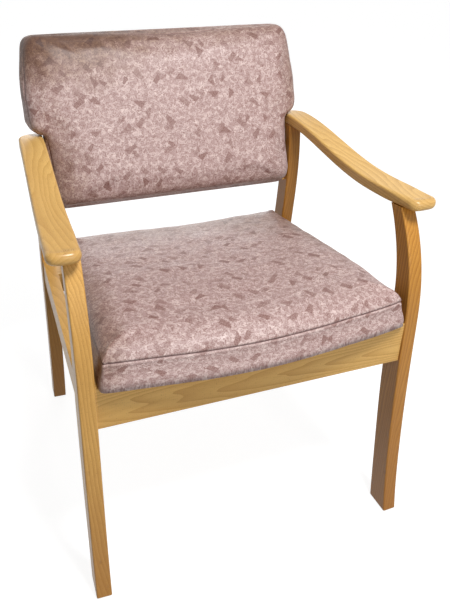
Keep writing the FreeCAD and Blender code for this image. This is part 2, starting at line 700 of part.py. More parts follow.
def screw(name, head_at, turn, length, frame=CHAIR):
    """A wood screw whose head lies proud of the face that it holds, and its bore."""
    start = frame.multiply(Placement(head_at, turn))
    raised = start.multiply(Placement(Vector(0, 0, -d.screw_head_height), Rotation()))
    shank = cylinder(f"{name}_shank", "sizes.screw_diameter / 2", length, start)
    head = cylinder(f"{name}_head", "sizes.screw_head_diameter / 2", "sizes.screw_head_height", raised)
    whole = doc.addObject("Part::Fuse", name)
    whole.Base = shank
    whole.Tool = head
    bore_radius = "sizes.screw_diameter / 2 + sizes.bore_clearance"
    return whole, cylinder(f"{name}_bore", bore_radius, f"{length} + {END_ROOM}", start)


# One counterbored screw through each block into its cross rail, one up into the seat board.
def block_fixings(name, y, direction, low):
    """The rail screw, the seat screw and the counterbore of a corner block."""
    corner = inner_face_x(y) + d.leg_thickness / 3
    slant_set = d.block_leg + d.rail_thickness / 2 - d.block_screw_side
    head_set = slant_set - d.screw_head_diameter / 2 - d.screw_head_height
    at = Vector(corner - d.block_screw_side, y + direction * head_set, low + d.block_screw_rise)
    aim = Rotation(UP, Vector(0, -direction, 0))
    rail_screw = screw(f"{name}_rail_screw", at, aim, f"{head_set} + sizes.block_screw_grip")
    outwards = CHAIR.multiply(Placement(at, Rotation(UP, Vector(0, direction, 0))))
    counterbore_radius = "sizes.screw_head_diameter / 2 + sizes.bore_clearance"
    counterbore = cylinder(f"{name}_counterbore", counterbore_radius, "sizes.block_leg", outwards)
    at = Vector(corner - d.seat_screw_side, y + direction * d.seat_screw_set, low)
    length = f"{seat_height(at.y) - low} + sizes.seat_screw_grip"
    return rail_screw, screw(f"{name}_seat_screw", at, Rotation(), length), counterbore


front_fixings = block_fixings("front", front_rail_rear_y, 1, front_block_z)
rear_fixings = block_fixings("rear", rear_rail_y, -1, rear_block_z)
front_rail_screw, front_seat_screw, _ = front_fixings
rear_rail_screw, rear_seat_screw, _ = rear_fixings

# Three screws through the back rail's upright rear face into the back board.
FORWARDS = Rotation(Vector(1, 0, 0), 90)
back_screws = []
for step in (-1, 0, 1):
    at = Vector(step * d.back_screw_pitch, post_rear_y, back_rail_mid_z)
    back_screws.append(screw("back_screw", at, FORWARDS, "sizes.back_screw_length"))

# A bolt straight across through each rear post, through a spacer, into the edge of the back
# board. The toed-in post meets its head at a slant, so the head rests on one side only.
board_depth = (d.back_thickness - d.board_thickness) / 2 - d.outer_panel_thickness
bolt_y, bolt_z = back_point(d.bolt_height, board_depth)
outer_face_x = inner_face_x(bolt_y) + d.leg_thickness / math.cos(toe)
bolt_seat_x = outer_face_x + d.bolt_head_diameter / 2 * math.tan(toe)
INWARDS = Rotation(Vector(0, 1, 0), -90)
bolt_start = CHAIR.multiply(Placement(Vector(bolt_seat_x, bolt_y, bolt_z), INWARDS))
bolt_outside = CHAIR.multiply(Placement(Vector(bolt_seat_x, bolt_y, bolt_z), ALONG_X))
bolt_shank = cylinder("bolt_shank", "sizes.bolt_diameter / 2", "sizes.bolt_length", bolt_start)
bolt_head = doc.addObject("Part::Cone", "bolt_head")
bolt_head.setExpression("Radius1", "sizes.bolt_head_diameter / 2")
bolt_head.setExpression("Radius2", "sizes.bolt_head_diameter / 3")
bolt_head.setExpression("Height", "sizes.bolt_head_height")
bolt_head.Placement = bolt_outside
bolt = doc.addObject("Part::Fuse", "bolt")
bolt.Base = bolt_shank
bolt.Tool = bolt_head
bolt_bore_radius = "sizes.bolt_diameter / 2 + sizes.bore_clearance"
bolt_bore = cylinder("bolt_bore", bolt_bore_radius, f"sizes.bolt_length + {END_ROOM}", bolt_start)
spacer_start = CHAIR.multiply(Placement(Vector(bolt_seat_x - arm_half, bolt_y, bolt_z), INWARDS))
spacer_length = "sizes.leg_thickness + sizes.board_margin + sizes.spacer_diameter"
spacer_blank = cylinder("spacer_blank", "sizes.spacer_diameter / 2", spacer_length, spacer_start)
spacer_room_radius = "sizes.spacer_diameter / 2 + sizes.fit_clearance"
spacer_room = cylinder("spacer_room", spacer_room_radius, spacer_length, spacer_start)


def glide(name, foot_y, foot_depth):
    """A nail-on glide under the middle of a foot, and the bore of its nail."""
    under = SIDE.multiply(Placement(Vector(0, foot_y + foot_depth / 2, 0), Rotation()))
    disc = doc.addObject("Part::Cone", f"{name}_disc")
    disc.setExpression("Radius1", "sizes.glide_diameter / 2 - sizes.glide_height / 4")
    disc.setExpression("Radius2", "sizes.glide_diameter / 2")
    disc.setExpression("Height", "sizes.glide_height")
    disc.Placement = under
    nail_radius = "sizes.glide_nail_diameter / 2"
    nail_length = "sizes.glide_height + sizes.glide_nail_length"
    nail = cylinder(f"{name}_nail", nail_radius, nail_length, under)
    whole = doc.addObject("Part::Fuse", name)
    whole.Base = disc
    whole.Tool = nail
    clearance = "sizes.bore_clearance"
    bore = cylinder(f"{name}_bore", f"{nail_radius} + {clearance}", f"{nail_length} + {clearance}", under)
    return whole, bore


front_glide, front_glide_bore = glide("front_glide", front_foot_y, d.front_foot_depth)
rear_glide, rear_glide_bore = glide("rear_glide", rear_foot_y, d.rear_depth)


# ---------------------------------------------------------------------------------------
# Seat pad and back pad: each a cushion wrapped round the edge of its plywood board
# ---------------------------------------------------------------------------------------
def seat_plan(margin):
    """Plan of the seat pad, drawn in by a margin: straight sides and a bowed front."""
    front, rear = d.seat_inset + margin, d.seat_inset + seat_depth - margin
    wide = inner_face_x(front_rail_y) - d.seat_front_gap - margin
    narrow = inner_face_x(rear_rail_y) - d.seat_rear_gap - margin
    corners = [Vector(wide, front, 0), Vector(narrow, rear, 0)]
    corners += [Vector(-narrow, rear, 0), Vector(-wide, front, 0)]
    sides = [Part.LineSegment(a, b) for a, b in zip(corners, corners[1:])]
    return [Part.Arc(corners[3], Vector(0, front - d.seat_bow, 0), corners[0]), *sides]


def upright(edge):
    """Picks a body's edges that are parallel to its Z."""
    return runs_along(edge, UP)


seat_board = body("seat_board_body", SEAT)
board_plan = sketch(seat_board, "XY_Plane", seat_plan(d.board_margin))
pad(seat_board, board_plan, "sizes.board_thickness", symmetric=False)
fillet(seat_board, upright, "sizes.seat_corner_radius - sizes.board_margin")

seat_cushion = body("seat_cushion_body", SEAT)
cushion_plan = sketch(seat_cushion, "XY_Plane", seat_plan(0))
pad(seat_cushion, cushion_plan, "sizes.seat_pad_height", symmetric=False)
fillet(seat_cushion, upright, "sizes.seat_corner_radius")
fillet(seat_cushion, lambda edge: middle(edge).z > d.seat_pad_height - 0.1, "sizes.seat_top_radius")


def back_plan(margin):
    """Outline of the back pad in its own plane, drawn in by a margin."""
    crest_z = arm_dip_z + d.arm_crest_rise
    shoulder = (crest_z - back_foot_z) / math.cos(rake) + d.back_shoulder_gap
    lower = inner_face_x(rear_waist_y) - d.back_post_gap - margin
    upper = lower + d.back_overhang
    right = [
        (lower, margin),
        (lower, shoulder),
        (upper, shoulder + d.back_shoulder_rise),
        (upper - d.back_taper, d.back_height - margin),
    ]
    return polygon(*right, *((-x, z) for x, z in reversed(right)))


ACROSS_PAD = Vector(0, 1, 0)


def pad_corner(margin, at_ends):
    """Picks the outline's corners at the pad's ends, or the ones at its shoulders."""
    def chosen(edge):
        z = middle(edge).z
        at_end = z < margin + 1 or z > d.back_height - margin - 1
        return runs_along(edge, ACROSS_PAD) and at_end == at_ends
    return chosen


def back_layer(name, margin, rear_depth, thickness):
    """A layer of the back pad, from the depth of its rear face forwards."""
    made = body(name, BACK)
    outline = sketch(made, "XZ_Plane", back_plan(margin))
    outline.AttachmentOffset = Placement(Vector(0, 0, -rear_depth), Rotation())
    pad(made, outline, thickness, symmetric=False)
    fillet(made, pad_corner(margin, True), "sizes.back_corner_radius - sizes.board_margin / 2")
    fillet(made, pad_corner(margin, False), "sizes.back_shoulder_rise / 2")
    return made


pad_rear = d.back_thickness / 2
board_rear = pad_rear - d.outer_panel_thickness
outer_panel = back_layer("outer_panel_body", d.board_margin, pad_rear, "sizes.outer_panel_thickness")
back_board = back_layer("back_board_body", d.board_margin, board_rear, "sizes.board_thickness")
board_room = back_layer("board_room_body", d.board_margin, pad_rear, "sizes.back_thickness")
back_cushion = back_layer("back_cushion_body", 0, pad_rear, "sizes.back_thickness")
fillet(back_cushion, lambda edge: middle(edge).y < 0.1 - pad_rear, "sizes.back_front_radius")

# ---------------------------------------------------------------------------------------
# Each piece scribed to its neighbours and drilled
# ---------------------------------------------------------------------------------------
def pins(made):
    """The dowels, screws or bolts of a list of (piece, bore) pairs."""
    return [piece for piece, bore in made]


def bores(*made):
    """The bores of (piece, bore) pairs."""
    return [bore for piece, bore in made]


front_leg_bores = group("front_leg_bores", front_glide_bore, *bores(
    *front_dowels, *side_front_dowels, front_arm_dowel))
rear_leg_bores = group("rear_leg_bores", rear_glide_bore, bolt_bore, *bores(
    *rear_dowels, *side_rear_dowels, *back_dowels, rear_arm_dowel))
armrest_bores = group("armrest_bores", *bores(front_arm_dowel, rear_arm_dowel))
keep_pair("front_leg", cut("front_leg_cut", front_leg, arm_space, front_leg_bores))
keep_pair("rear_leg", cut("rear_leg_cut", rear_leg, arm_space, rear_leg_bores))
keep_pair("armrest", cut("armrest_cut", armrest_rolled, armrest_bores))

side_rail_bores = group("side_rail_bores", *bores(*side_front_dowels, *side_rear_dowels))
front_rail_bores = both("front_rail_bores", *bores(*front_dowels, front_rail_screw))
rear_rail_bores = both("rear_rail_bores", *bores(*rear_dowels, rear_rail_screw))
back_screw_bores = group("back_screw_bores", *bores(*back_screws))
back_rail_bores = group("back_rail_bores", both("back_end_bores", *bores(*back_dowels)), back_screw_bores)
side_rail_tools = [front_leg, rear_leg, rear_rail, seat_space, side_rail_bores]
keep_pair("side_rail", cut("side_rail_cut", side_rail, *side_rail_tools))
keep("front_rail", cut("front_rail_cut", front_rail, front_legs, seat_space, front_rail_bores))
keep("rear_rail", cut("rear_rail_cut", rear_rail, rear_legs, seat_space, rear_rail_bores))
keep("back_rail", cut("back_rail_cut", back_rail, rear_legs, back_rail_bores))


def keep_blocks(name, block, nearby_leg, rail_screw, seat_screw, counterbore):
    """A pair of corner blocks fitted round a leg and the side rail, under the seat plane."""
    block_bores = group(f"{name}_bores", counterbore, *bores(rail_screw, seat_screw))
    keep_pair(name, cut(f"{name}_cut", block, nearby_leg, side_rail, seat_space, block_bores))


keep_blocks("front_corner_block", front_block, front_leg, *front_fixings)
keep_blocks("rear_corner_block", rear_block, rear_leg, *rear_fixings)

seat_bores = both("seat_board_bores", *bores(front_seat_screw, rear_seat_screw))
keep("seat_board", cut("seat_board_cut", seat_board, seat_bores))
keep("seat_cushion", cut("seat_cushion_cut", seat_cushion, seat_board))
bolt_bores = both("bolt_bores", bolt_bore)
spacer_rooms = both("spacer_rooms", spacer_room)
keep("back_board", cut("back_board_cut", back_board, bolt_bores, back_screw_bores))
keep("back_outer_panel", cut("outer_panel_cut", outer_panel, back_screw_bores))
keep("back_cushion", cut("back_cushion_cut", back_cushion, back_board, outer_panel, spacer_rooms))
spacer = cut("spacer_cut", spacer_blank, rear_leg, board_room, bolt_bore)
keep("back_spacers", both("spacers", spacer))

keep("front_rail_dowels", both("front_dowel_group", *pins(front_dowels)))
keep("rear_rail_dowels", both("rear_dowel_group", *pins(rear_dowels)))
keep("back_rail_dowels", both("back_dowel_group", *pins(back_dowels)))
keep("side_rail_dowels", both("side_dowel_group", *pins(side_front_dowels + side_rear_dowels)))
keep("armrest_dowels", both("arm_dowel_group", *pins([front_arm_dowel, rear_arm_dowel])))
keep("corner_block_screws", both("rail_screw_group", *pins([front_rail_screw, rear_rail_screw])))
keep("seat_screws", both("seat_screw_group", *pins([front_seat_screw, rear_seat_screw])))
keep("back_rail_screws", group("back_screw_group", *pins(back_screws)))
keep("back_bolts", both("bolt_group", bolt))
keep("leg_glides", both("glide_group", front_glide, rear_glide))

# ---------------------------------------------------------------------------------------
# Checks and export
# ---------------------------------------------------------------------------------------
doc.recompute()
for item in doc.Objects:
    assert not {"Invalid", "Error"} & set(item.State), f"{item.Name} failed: {item.State}"
box = FreeCAD.BoundBox()
for name, item in NODES.items():
    shape = item.Shape
    assert not shape.isNull() and shape.isValid() and shape.Solids, f"{name} has no valid solid"
    box.add(shape.optimalBoundingBox())
    print(f"{name}: {len(shape.Solids)} solids, {shape.Volume / 1000:.1f} cm3")
    shape.exportStep(f"parts/{name}.step")
print(f"{len(NODES)} sub-parts, box {box.XLength:.1f} x {box.YLength:.1f} x {box.ZLength:.1f} mm")
print(f"plan box centre {box.Center.x:.3f}, {box.Center.y:.3f}, lowest point {box.ZMin:.3f}")
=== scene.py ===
import math

import bmesh
import bpy
import numpy as np
from mathutils import Matrix, Vector
from mathutils.bvhtree import BVHTree


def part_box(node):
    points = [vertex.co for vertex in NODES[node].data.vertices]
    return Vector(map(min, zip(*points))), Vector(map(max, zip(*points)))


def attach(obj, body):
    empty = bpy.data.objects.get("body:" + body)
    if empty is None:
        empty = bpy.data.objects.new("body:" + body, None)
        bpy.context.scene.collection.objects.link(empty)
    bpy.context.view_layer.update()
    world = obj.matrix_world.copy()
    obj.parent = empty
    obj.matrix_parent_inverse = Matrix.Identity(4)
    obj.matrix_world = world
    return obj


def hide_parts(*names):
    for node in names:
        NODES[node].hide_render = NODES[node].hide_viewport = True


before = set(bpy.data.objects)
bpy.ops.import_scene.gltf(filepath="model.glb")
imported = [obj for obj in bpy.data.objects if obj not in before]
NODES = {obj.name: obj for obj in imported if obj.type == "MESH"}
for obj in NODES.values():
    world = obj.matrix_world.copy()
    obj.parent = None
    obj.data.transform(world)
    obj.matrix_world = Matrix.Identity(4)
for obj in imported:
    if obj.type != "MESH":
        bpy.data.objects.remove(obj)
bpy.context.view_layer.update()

bl_info = {
    "name": "Ward armchair finish",
    "version": (1, 0, 0),
    "blender": (4, 5, 0),
    "location": "View3D > Sidebar > Armchair",
    "description": "Upholstery, timber and hardware of a beech ward armchair",
    "category": "Object",
}

# The top of an armrest's nose, where hands wear it.
NOSE = (0.292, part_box("right_armrest")[0][1] + 0.004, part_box("right_armrest")[1][2] - 0.006)


# ---- Sizes and colours ----
def length(name, description, default):
    """A length in metres."""
    return bpy.props.FloatProperty(
        name=name, description=description, default=default, unit="LENGTH", precision=4)


def colour(name, description, default):
    """A colour of a finish."""
    return bpy.props.FloatVectorProperty(
        name=name, description=description, default=default, size=4, subtype="COLOR", min=0.0, max=1.0)


def share(name, description, default, top=1.0):
    """A plain number from nought."""
    return bpy.props.FloatProperty(name=name, description=description, default=default, min=0.0, max=top)


def turn(name, description, default):
    """An angle, given in degrees."""
    return bpy.props.FloatProperty(
        name=name, description=description, default=math.radians(default), unit="ROTATION")


class SeatPadSizes(bpy.types.PropertyGroup):
    """Form of the seat pad"""
    slope: turn("Slope", "Fall of the seat to the rear", 4.1)
    seam_height: length("Seam height", "Front border seam above the rails", 0.0465)
    front_height: length("Front height", "Height of the roll over the front border", 0.069)
    roll: length("Roll", "How far in from the border the top is rolled", 0.024)
    crown: length("Crown", "Extra height in the middle of the top", 0.003)
    fall: share("Fall", "Share of the height that is lost at the rear", 0.31)
    overhang: length("Overhang", "How far the front border hangs past the cut outline", 0.0025)
    belly: length("Belly", "Bulge of the front border over the rail", 0.003)
    swell: length("Swell", "Most that the cover moves when it fills", 0.006)
    voxel: length("Voxel", "Mesh size of the cover", 0.006)


class BackPadSizes(bpy.types.PropertyGroup):
    """Form of the back pad"""
    rake: turn("Rake", "Lean of the back pad", 23.0)
    roll: length("Roll", "Roundness of the front edge", 0.019)
    crown: length("Crown", "Extra thickness in the middle of the front", 0.007)
    dip: length("Dip", "How far the front of the top edge has sunk in its middle", 0.011)
    shoulder: length("Shoulder", "Height of the shoulders above the floor, over the armrests", 0.6605)
    seam_depth: length("Seam depth", "Border seam behind the front", 0.023)
    swell: length("Swell", "Most that the cover moves when it fills", 0.008)
    panel_crown: length("Panel crown", "How far the middle of the rear panel stands out", 0.0015)
    flare: length("Shoulder flare", "How far the lower ends of the shoulders stand out", 0.0045)
    voxel: length("Voxel", "Mesh size of the cover", 0.006)


class VinylFinish(bpy.types.PropertyGroup):
    """Colours of the printed vinyl"""
    ground: colour("Ground", "Ground of the print", (0.360, 0.238, 0.222, 1.0))
    vein: colour("Vein", "Fine pale strokes", (0.65, 0.515, 0.482, 1.0))
    leaf: colour("Leaf", "Small darker leaves", (0.165, 0.066, 0.052, 1.0))
    # This brown darkens the vinyl both as soiling and as painted shade.
    soil_and_shade: colour("Soil", "Brown soiling of the handled places", (0.45, 0.32, 0.19, 1.0))
    stitch: colour("Stitch", "Bottom of the seams", (0.10, 0.035, 0.03, 1.0))


class TimberFinish(bpy.types.PropertyGroup):
    """Colours of the timber"""
    pale: colour("Pale", "Early wood of the lighter timbers", (0.75, 0.475, 0.155, 1.0))
    deep: colour("Deep", "Late wood of the lighter timbers", (0.50, 0.265, 0.062, 1.0))
    # Amber and umber are the colours that timbers are deepened to, partly painted shade; umber also darkens
    # the timber towards the floor.
    amber: colour("Amber", "Early wood of the aged timbers", (0.58, 0.280, 0.050, 1.0))
    umber: colour("Umber", "Late wood of the aged timbers", (0.30, 0.110, 0.012, 1.0))
    fleck: colour("Fleck", "Short brown flecks", (0.24, 0.105, 0.030, 1.0))
    worn: colour("Worn", "Where hands have darkened the lacquer", (0.34, 0.20, 0.085, 1.0))
    ply: colour("Plywood", "Face of the seat board", (0.56, 0.38, 0.20, 1.0))


class StudioSettings(bpy.types.PropertyGroup):
    """Floor, light and camera"""
    floor: colour("Floor", "Colour of the floor under the lamps", (0.30, 0.30, 0.30, 1.0))
    whiteness: share("Whiteness", "How white the floor looks on top of its own light", 0.88)
    key_power: share("Key power", "Strength of the main lamp", 48.0, 500.0)
    fill_power: share("Fill power", "Strength of the front lamp", 19.0, 500.0)
    rear_power: share("Rear lamp", "Strength of the lamp behind the chair", 15.0, 500.0)
    surround: share("Surround", "Light from all round", 0.20, 5.0)


SETTINGS = {
    "seat_pad": SeatPadSizes,
    "back_pad": BackPadSizes,
    "vinyl": VinylFinish,
    "timber": TimberFinish,
    "studio": StudioSettings,
}


def settings(name):
    """The scene's values for one group of sizes or colours."""
    return getattr(bpy.context.scene, f"armchair_{name}")


# ---- Surfaces ----
# Edges are cut into a cover at these distances from its seam, in metres.
SEAM_CUTS = (-0.0060, -0.0035, -0.0016, 0.0, 0.0016, 0.0035, 0.0060)
# The distance from a seam that is stored where there is no seam.
NO_SEAM = 0.02
# A seam's section, in metres: the reach of its groove, and the place and reach of a lip beside it.
GROOVE_REACH, LIP_PLACE, LIP_REACH = 0.0012, 0.0042, 0.0020
# How many points an outline has.
OUTLINE_POINTS = 480
# How many moments the filling of a pad takes, and what its cloth is like.
FILLING_MOMENTS = 20
FILLING = {
    "quality": 5, "mass": 0.3, "tension_stiffness": 15, "compression_stiffness": 15,
    "shear_stiffness": 5, "bending_stiffness": 0.5, "use_pressure": True,
    "uniform_pressure_force": 4.0, "vertex_group_mass": "held",
}


def mesh_points(mesh):
    """All points of a mesh, one row each."""
    points = np.empty(3 * len(mesh.vertices))
    mesh.vertices.foreach_get("co", points)
    return points.reshape(-1, 3)


def node_points(name):
    """All points of a node of the frame, one row each."""
    return mesh_points(NODES[name].data)


def move_points(piece, points):
    """Moves the points of a piece to new places."""
    piece.data.vertices.foreach_set("co", points.ravel())
    piece.data.update()


def tilted(angle):
    """Axes of a plane leaned back by an angle: the rows are across, back along it and out of it."""
    c, s = math.cos(angle), math.sin(angle)
    return np.array([[1, 0, 0], [0, c, -s], [0, s, c]])


def bell(value, centre, reach):
    """exp(-((value - centre) / reach)^2)."""
    return np.exp(-((value - centre) / reach) ** 2)


def ease(value, start, end):
    """0 up to start, 1 from end on, and 3t^2 - 2t^3 between."""
    t = np.clip((value - start) / (end - start), 0, 1)
    return t * t * (3 - 2 * t)


def groove(off, depth, lip):
    """A seam's section, off being the distance from it: a bell of a depth at the seam, less two
    bells of the lip's height beside it."""
    return depth * bell(off, 0, GROOVE_REACH) - lip * bell(np.abs(off), LIP_PLACE, LIP_REACH)


def linked(name, data):
    """A new object of some data, in the scene."""
    thing = bpy.data.objects.new(name, data)
    bpy.context.scene.collection.objects.link(thing)
    return thing


def smooth_shaded(mesh):
    """Shades all faces of a mesh smooth."""
    mesh.polygons.foreach_set("use_smooth", np.ones(len(mesh.polygons), bool))


def new_piece(name, points, faces):
    """A smooth-shaded object of a list of points and faces."""
    mesh = bpy.data.meshes.new(name)
    mesh.from_pydata(points.tolist(), [], [face.tolist() for face in faces])
    smooth_shaded(mesh)
    return linked(name, mesh)


def shell(name, rings):
    """A closed form from rings of points (rings, points, 3): quads between neighbouring rings, and
    at each end a fan to its middle."""
    rows, columns, _ = rings.shape
    ends = np.stack([rings[0].mean(axis=0), rings[-1].mean(axis=0)])
    points = np.concatenate([rings.reshape(-1, 3), ends])
    column = np.arange(columns)
    after = (column + 1) % columns
    start = np.arange(rows - 1)[:, None] * columns
    quads = [start + column, start + after, start + columns + after, start + columns + column]
    sides = np.stack(quads, axis=-1).reshape(-1, 4)
    first = np.stack([after, column, np.full(columns, rows * columns)], axis=-1)
    top = (rows - 1) * columns
    last = np.stack([top + column, top + after, np.full(columns, rows * columns + 1)], axis=-1)
    return new_piece(name, points, [*sides, *first, *last])


def even_loop(loop, count):
    """A closed line of points drawn again in even steps."""
    closed = np.concatenate([loop, loop[:1]])
    reach = np.concatenate([[0], np.cumsum(np.linalg.norm(np.diff(closed, axis=0), axis=1))])
    even = np.linspace(0, reach[-1], count, endpoint=False)
    return np.stack([np.interp(even, reach, closed[:, axis]) for axis in (0, 1)], axis=-1)


def girth(name, axes, normal, level):
    """Outline of a node where a plane cuts it, anticlockwise in even steps: rays come in from all
    round to the middle. The plane is square to one of the axes (normal), at a level along it."""
    mesh = NODES[name].data
    corners = np.empty(len(mesh.loops), dtype=np.int32)
    mesh.loops.foreach_get("vertex_index", corners)
    own = node_points(name) @ axes.T
    solid = BVHTree.FromPolygons(own.tolist(), corners.reshape(-1, 3).tolist())
    flat = [axis for axis in range(3) if axis != normal]
    middle = (own.max(axis=0) + own.min(axis=0)) / 2
    middle[normal] = level
    hits = []
    for angle in np.linspace(0, 2 * math.pi, 2 * OUTLINE_POINTS, endpoint=False):
        outward = np.zeros(3)
        outward[flat] = math.cos(angle), math.sin(angle)
        place = solid.ray_cast(Vector(middle + outward), Vector(-outward))[0]
        hits.append([place[axis] for axis in flat])
    return even_loop(np.array(hits), OUTLINE_POINTS)


def spans(loop):
    """The middle of a loop and half its size, in both directions."""
    low, high = loop.min(axis=0), loop.max(axis=0)
    return (high + low) / 2, (high - low) / 2


def inward(loop):
    """Unit vectors that point into an anticlockwise loop, each square to the line at its point."""
    along = np.roll(loop, -1, axis=0) - np.roll(loop, 1, axis=0)
    along /= np.linalg.norm(along, axis=1, keepdims=True)
    return np.column_stack([-along[:, 1], along[:, 0]])


def softened(loop, reach):
    """A loop whose points are each the mean of their neighbours under a bell of a given reach."""
    step = np.linalg.norm(loop[1] - loop[0])
    offsets = np.arange(-int(3 * reach / step), int(3 * reach / step) + 1)
    weights = np.exp(-(offsets * step / reach) ** 2 / 2)
    moved = [np.roll(loop, -offset, axis=0) * weight for offset, weight in zip(offsets, weights)]
    return np.sum(moved, axis=0) / weights.sum()


def squared_up(loop):
    """A loop of four sides with its corners made sharp: straight tapered sides, a bowed front (a
    parabola) and a straight rear, each fitted to the loop's own middle stretch, in even steps."""
    middle, half = spans(loop)
    x, y = ((loop - middle) / half).T
    flank = np.abs(y) < 0.7
    taper = np.polyfit(loop[flank, 1], np.abs(loop[flank, 0] - middle[0]), 1)
    front = (np.abs(x) < 0.85) & (y < 0)
    bow = np.polyfit(loop[front, 0], loop[front, 1], 2)
    depth = np.linspace(loop[:, 1].min(), loop[:, 1].max(), 400)
    side = np.polyval(taper, depth)
    side_on = depth > np.polyval(bow, side)
    across = np.linspace(-1, 1, 400) * side[side_on][0]
    bowed = np.column_stack([across, np.polyval(bow, across)])
    right = np.column_stack([side[side_on], depth[side_on]])
    left = right[::-1] * (-1, 1)
    return even_loop(np.concatenate([bowed, right, left]), len(loop))


def arc(centre, radii, start, end, count):
    """Points of an elliptic arc in a profile, its angles in degrees."""
    angle = np.radians(np.linspace(start, end, count))
    return np.column_stack([centre[0] + radii[0] * np.cos(angle), centre[1] + radii[1] * np.sin(angle)])


def ring(plan, normal, level):
    """A flat loop set in space at a level along one axis."""
    return np.insert(plan, normal, level, axis=1)


def disc(loop, middle, shares, normal, level):
    """Rings that fill a flat loop at a level: the loop drawn in to its middle by a row of even
    shares, of which the first, the last and the count are given."""
    return [ring(middle + (loop - middle) * part, normal, level) for part in np.linspace(*shares)]


def spread(grid, flat, middle, half):
    """Where points lie across and along a pad, each from -1 to 1."""
    return (np.clip((grid[:, :, axis] - middle[i]) / half[i], -1, 1) for i, axis in enumerate(flat))


def fitted(own, axis, low, high):
    """Draws points out along one axis until they fill it from low to high."""
    now_low, now_high = own[:, axis].min(), own[:, axis].max()
    own[:, axis] = low + (own[:, axis] - now_low) * (high - low) / (now_high - now_low)


def beside(points, loop):
    """Distance of points outside (+) or inside (-) an anticlockwise loop, and the outward direction
    at the nearest of the loop's points."""
    blocks = np.array_split(points, 1 + len(points) // 4000)
    near = [((block[:, None] - loop[None]) ** 2).sum(axis=2).argmin(axis=1) for block in blocks]
    nearest = np.concatenate(near)
    out = -inward(loop)[nearest]
    return ((points - loop[nearest]) * out).sum(axis=1), out


def make_room(own, flat, deep, chosen, board, level):
    """Moves chosen points of a pad that lie inside a board's outline to a level past the board, and
    those just inside its edge out to the edge as well, so that the pad closes round the board."""
    gap, edge = 0.0004, 0.0045
    distance, out = beside(own[:, flat], board)
    inside = chosen & (distance < gap)
    own[inside, deep] = level
    at_edge = inside & (distance > -edge)
    for axis, step in zip(flat, out[at_edge].T):
        own[at_edge, axis] += step * (gap - distance[at_edge])


def scored(piece, normal, seam):
    """Cuts rows of edges round a piece, each square to a direction, beside the seam's level."""
    work = bmesh.new()
    work.from_mesh(piece.data)
    for off in SEAM_CUTS:
        parts = [*work.verts, *work.edges, *work.faces]
        place = Vector(normal * (seam + off))
        bmesh.ops.bisect_plane(work, geom=parts, dist=1e-6, plane_co=place, plane_no=normal)
    work.to_mesh(piece.data)
    work.free()


def settled(across, along, seed, reach):
    """Uneven foam: the sum of twelve waves of random direction, their lengths about a reach and
    their heights together between -2 and 2."""
    draw = np.random.default_rng(seed)
    turns, lengths = draw.uniform(0, math.pi, 12), reach * draw.uniform(0.8, 2.6, 12)
    phases = draw.uniform(0, 2 * math.pi, 12)
    runs = across[:, None] * np.cos(turns) + along[:, None] * np.sin(turns)
    return np.sin(2 * math.pi * runs / lengths + phases).mean(axis=1) * 2


def filled(soft, start, held):
    """Where the points of a cover lie once it has been filled like a bag of air by cloth simulation,
    the held points kept in place."""
    scene = bpy.context.scene
    keep = soft.vertex_groups.new(name="held")
    keep.add(np.flatnonzero(held(start)).tolist(), 1.0, "REPLACE")
    cloth = soft.modifiers.new("filling", "CLOTH")
    for key, value in FILLING.items():
        setattr(cloth.settings, key, value)
    cloth.settings.effector_weights.gravity = 0
    cloth.collision_settings.use_collision = False
    cloth.point_cache.frame_start = 1
    cloth.point_cache.frame_end = FILLING_MOMENTS
    for moment in range(1, FILLING_MOMENTS + 1):
        scene.frame_set(moment)
    points = mesh_points(soft.evaluated_get(bpy.context.evaluated_depsgraph_get()).data)
    scene.frame_set(1)
    soft.modifiers.remove(cloth)
    soft.vertex_groups.clear()
    return points


def held_cloth(form, name, size, held):
    """The form remeshed to even cells and filled, then smoothed and subdivided once. A point that
    the filling would move by d moves by swell * tanh(d / swell), so never by more than the swell."""
    soft = linked(name, form.data.copy())
    bpy.data.objects.remove(form)
    bpy.context.view_layer.objects.active = soft
    soft.data.remesh_voxel_size = size.voxel
    bpy.ops.object.voxel_remesh()
    start = mesh_points(soft.data)
    moved = filled(soft, start, held) - start
    far = np.linalg.norm(moved, axis=1, keepdims=True) + 1e-9
    move_points(soft, start + moved * size.swell * np.tanh(far / size.swell) / far)
    smooth = soft.modifiers.new("smooth", "SMOOTH")
    smooth.factor = 0.5
    smooth.iterations = 4
    bpy.ops.object.modifier_apply(modifier=smooth.name)
    finer = soft.modifiers.new("finer", "SUBSURF")
    finer.levels = finer.render_levels = 1
    bpy.ops.object.modifier_apply(modifier=finer.name)
    smooth_shaded(soft.data)
    return soft


def store(piece, name, kind, key, values):
    """Stores a value for each point of a piece."""
    field = piece.data.attributes.new(name, kind, "POINT")
    field.data.foreach_set(key, np.asarray(values, dtype=np.float32).ravel())


def spread_out(piece, away, flat):
    """Stores how far each point of a cover is from its seam and where it lies in the flat cloth: its
    place in the plane of the pad, on the border moved out by how far it has dropped past the edge."""
    store(piece, "seam", "FLOAT", "value", away)
    store(piece, "cloth", "FLOAT_VECTOR", "vector", np.insert(flat, 2, 0, axis=1))


def dress(thing, material):
    """Gives an object a material, and no other."""
    thing.data.materials.clear()
    thing.data.materials.append(material)


def put_on(piece, material, node):
    """Gives a cover its material, hangs it under the root body and hides the node that it stands for."""
    dress(piece, material)
    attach(piece, "root")
    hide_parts(node)


# ---- Shader building ----
def wire(tree, kind, sockets=(), **choices):
    """A node with its choices, each socket set to a value or joined to an output."""
    made = tree.nodes.new(kind)
    for name, value in choices.items():
        setattr(made, name, value)
    for key, value in dict(sockets).items():
        if isinstance(value, bpy.types.NodeSocket):
            tree.links.new(value, made.inputs[key])
        else:
            made.inputs[key].default_value = value
    return made


def calc(tree, operation, *values):
    """The output of a Math node."""
    return wire(tree, "ShaderNodeMath", enumerate(values), operation=operation).outputs[0]


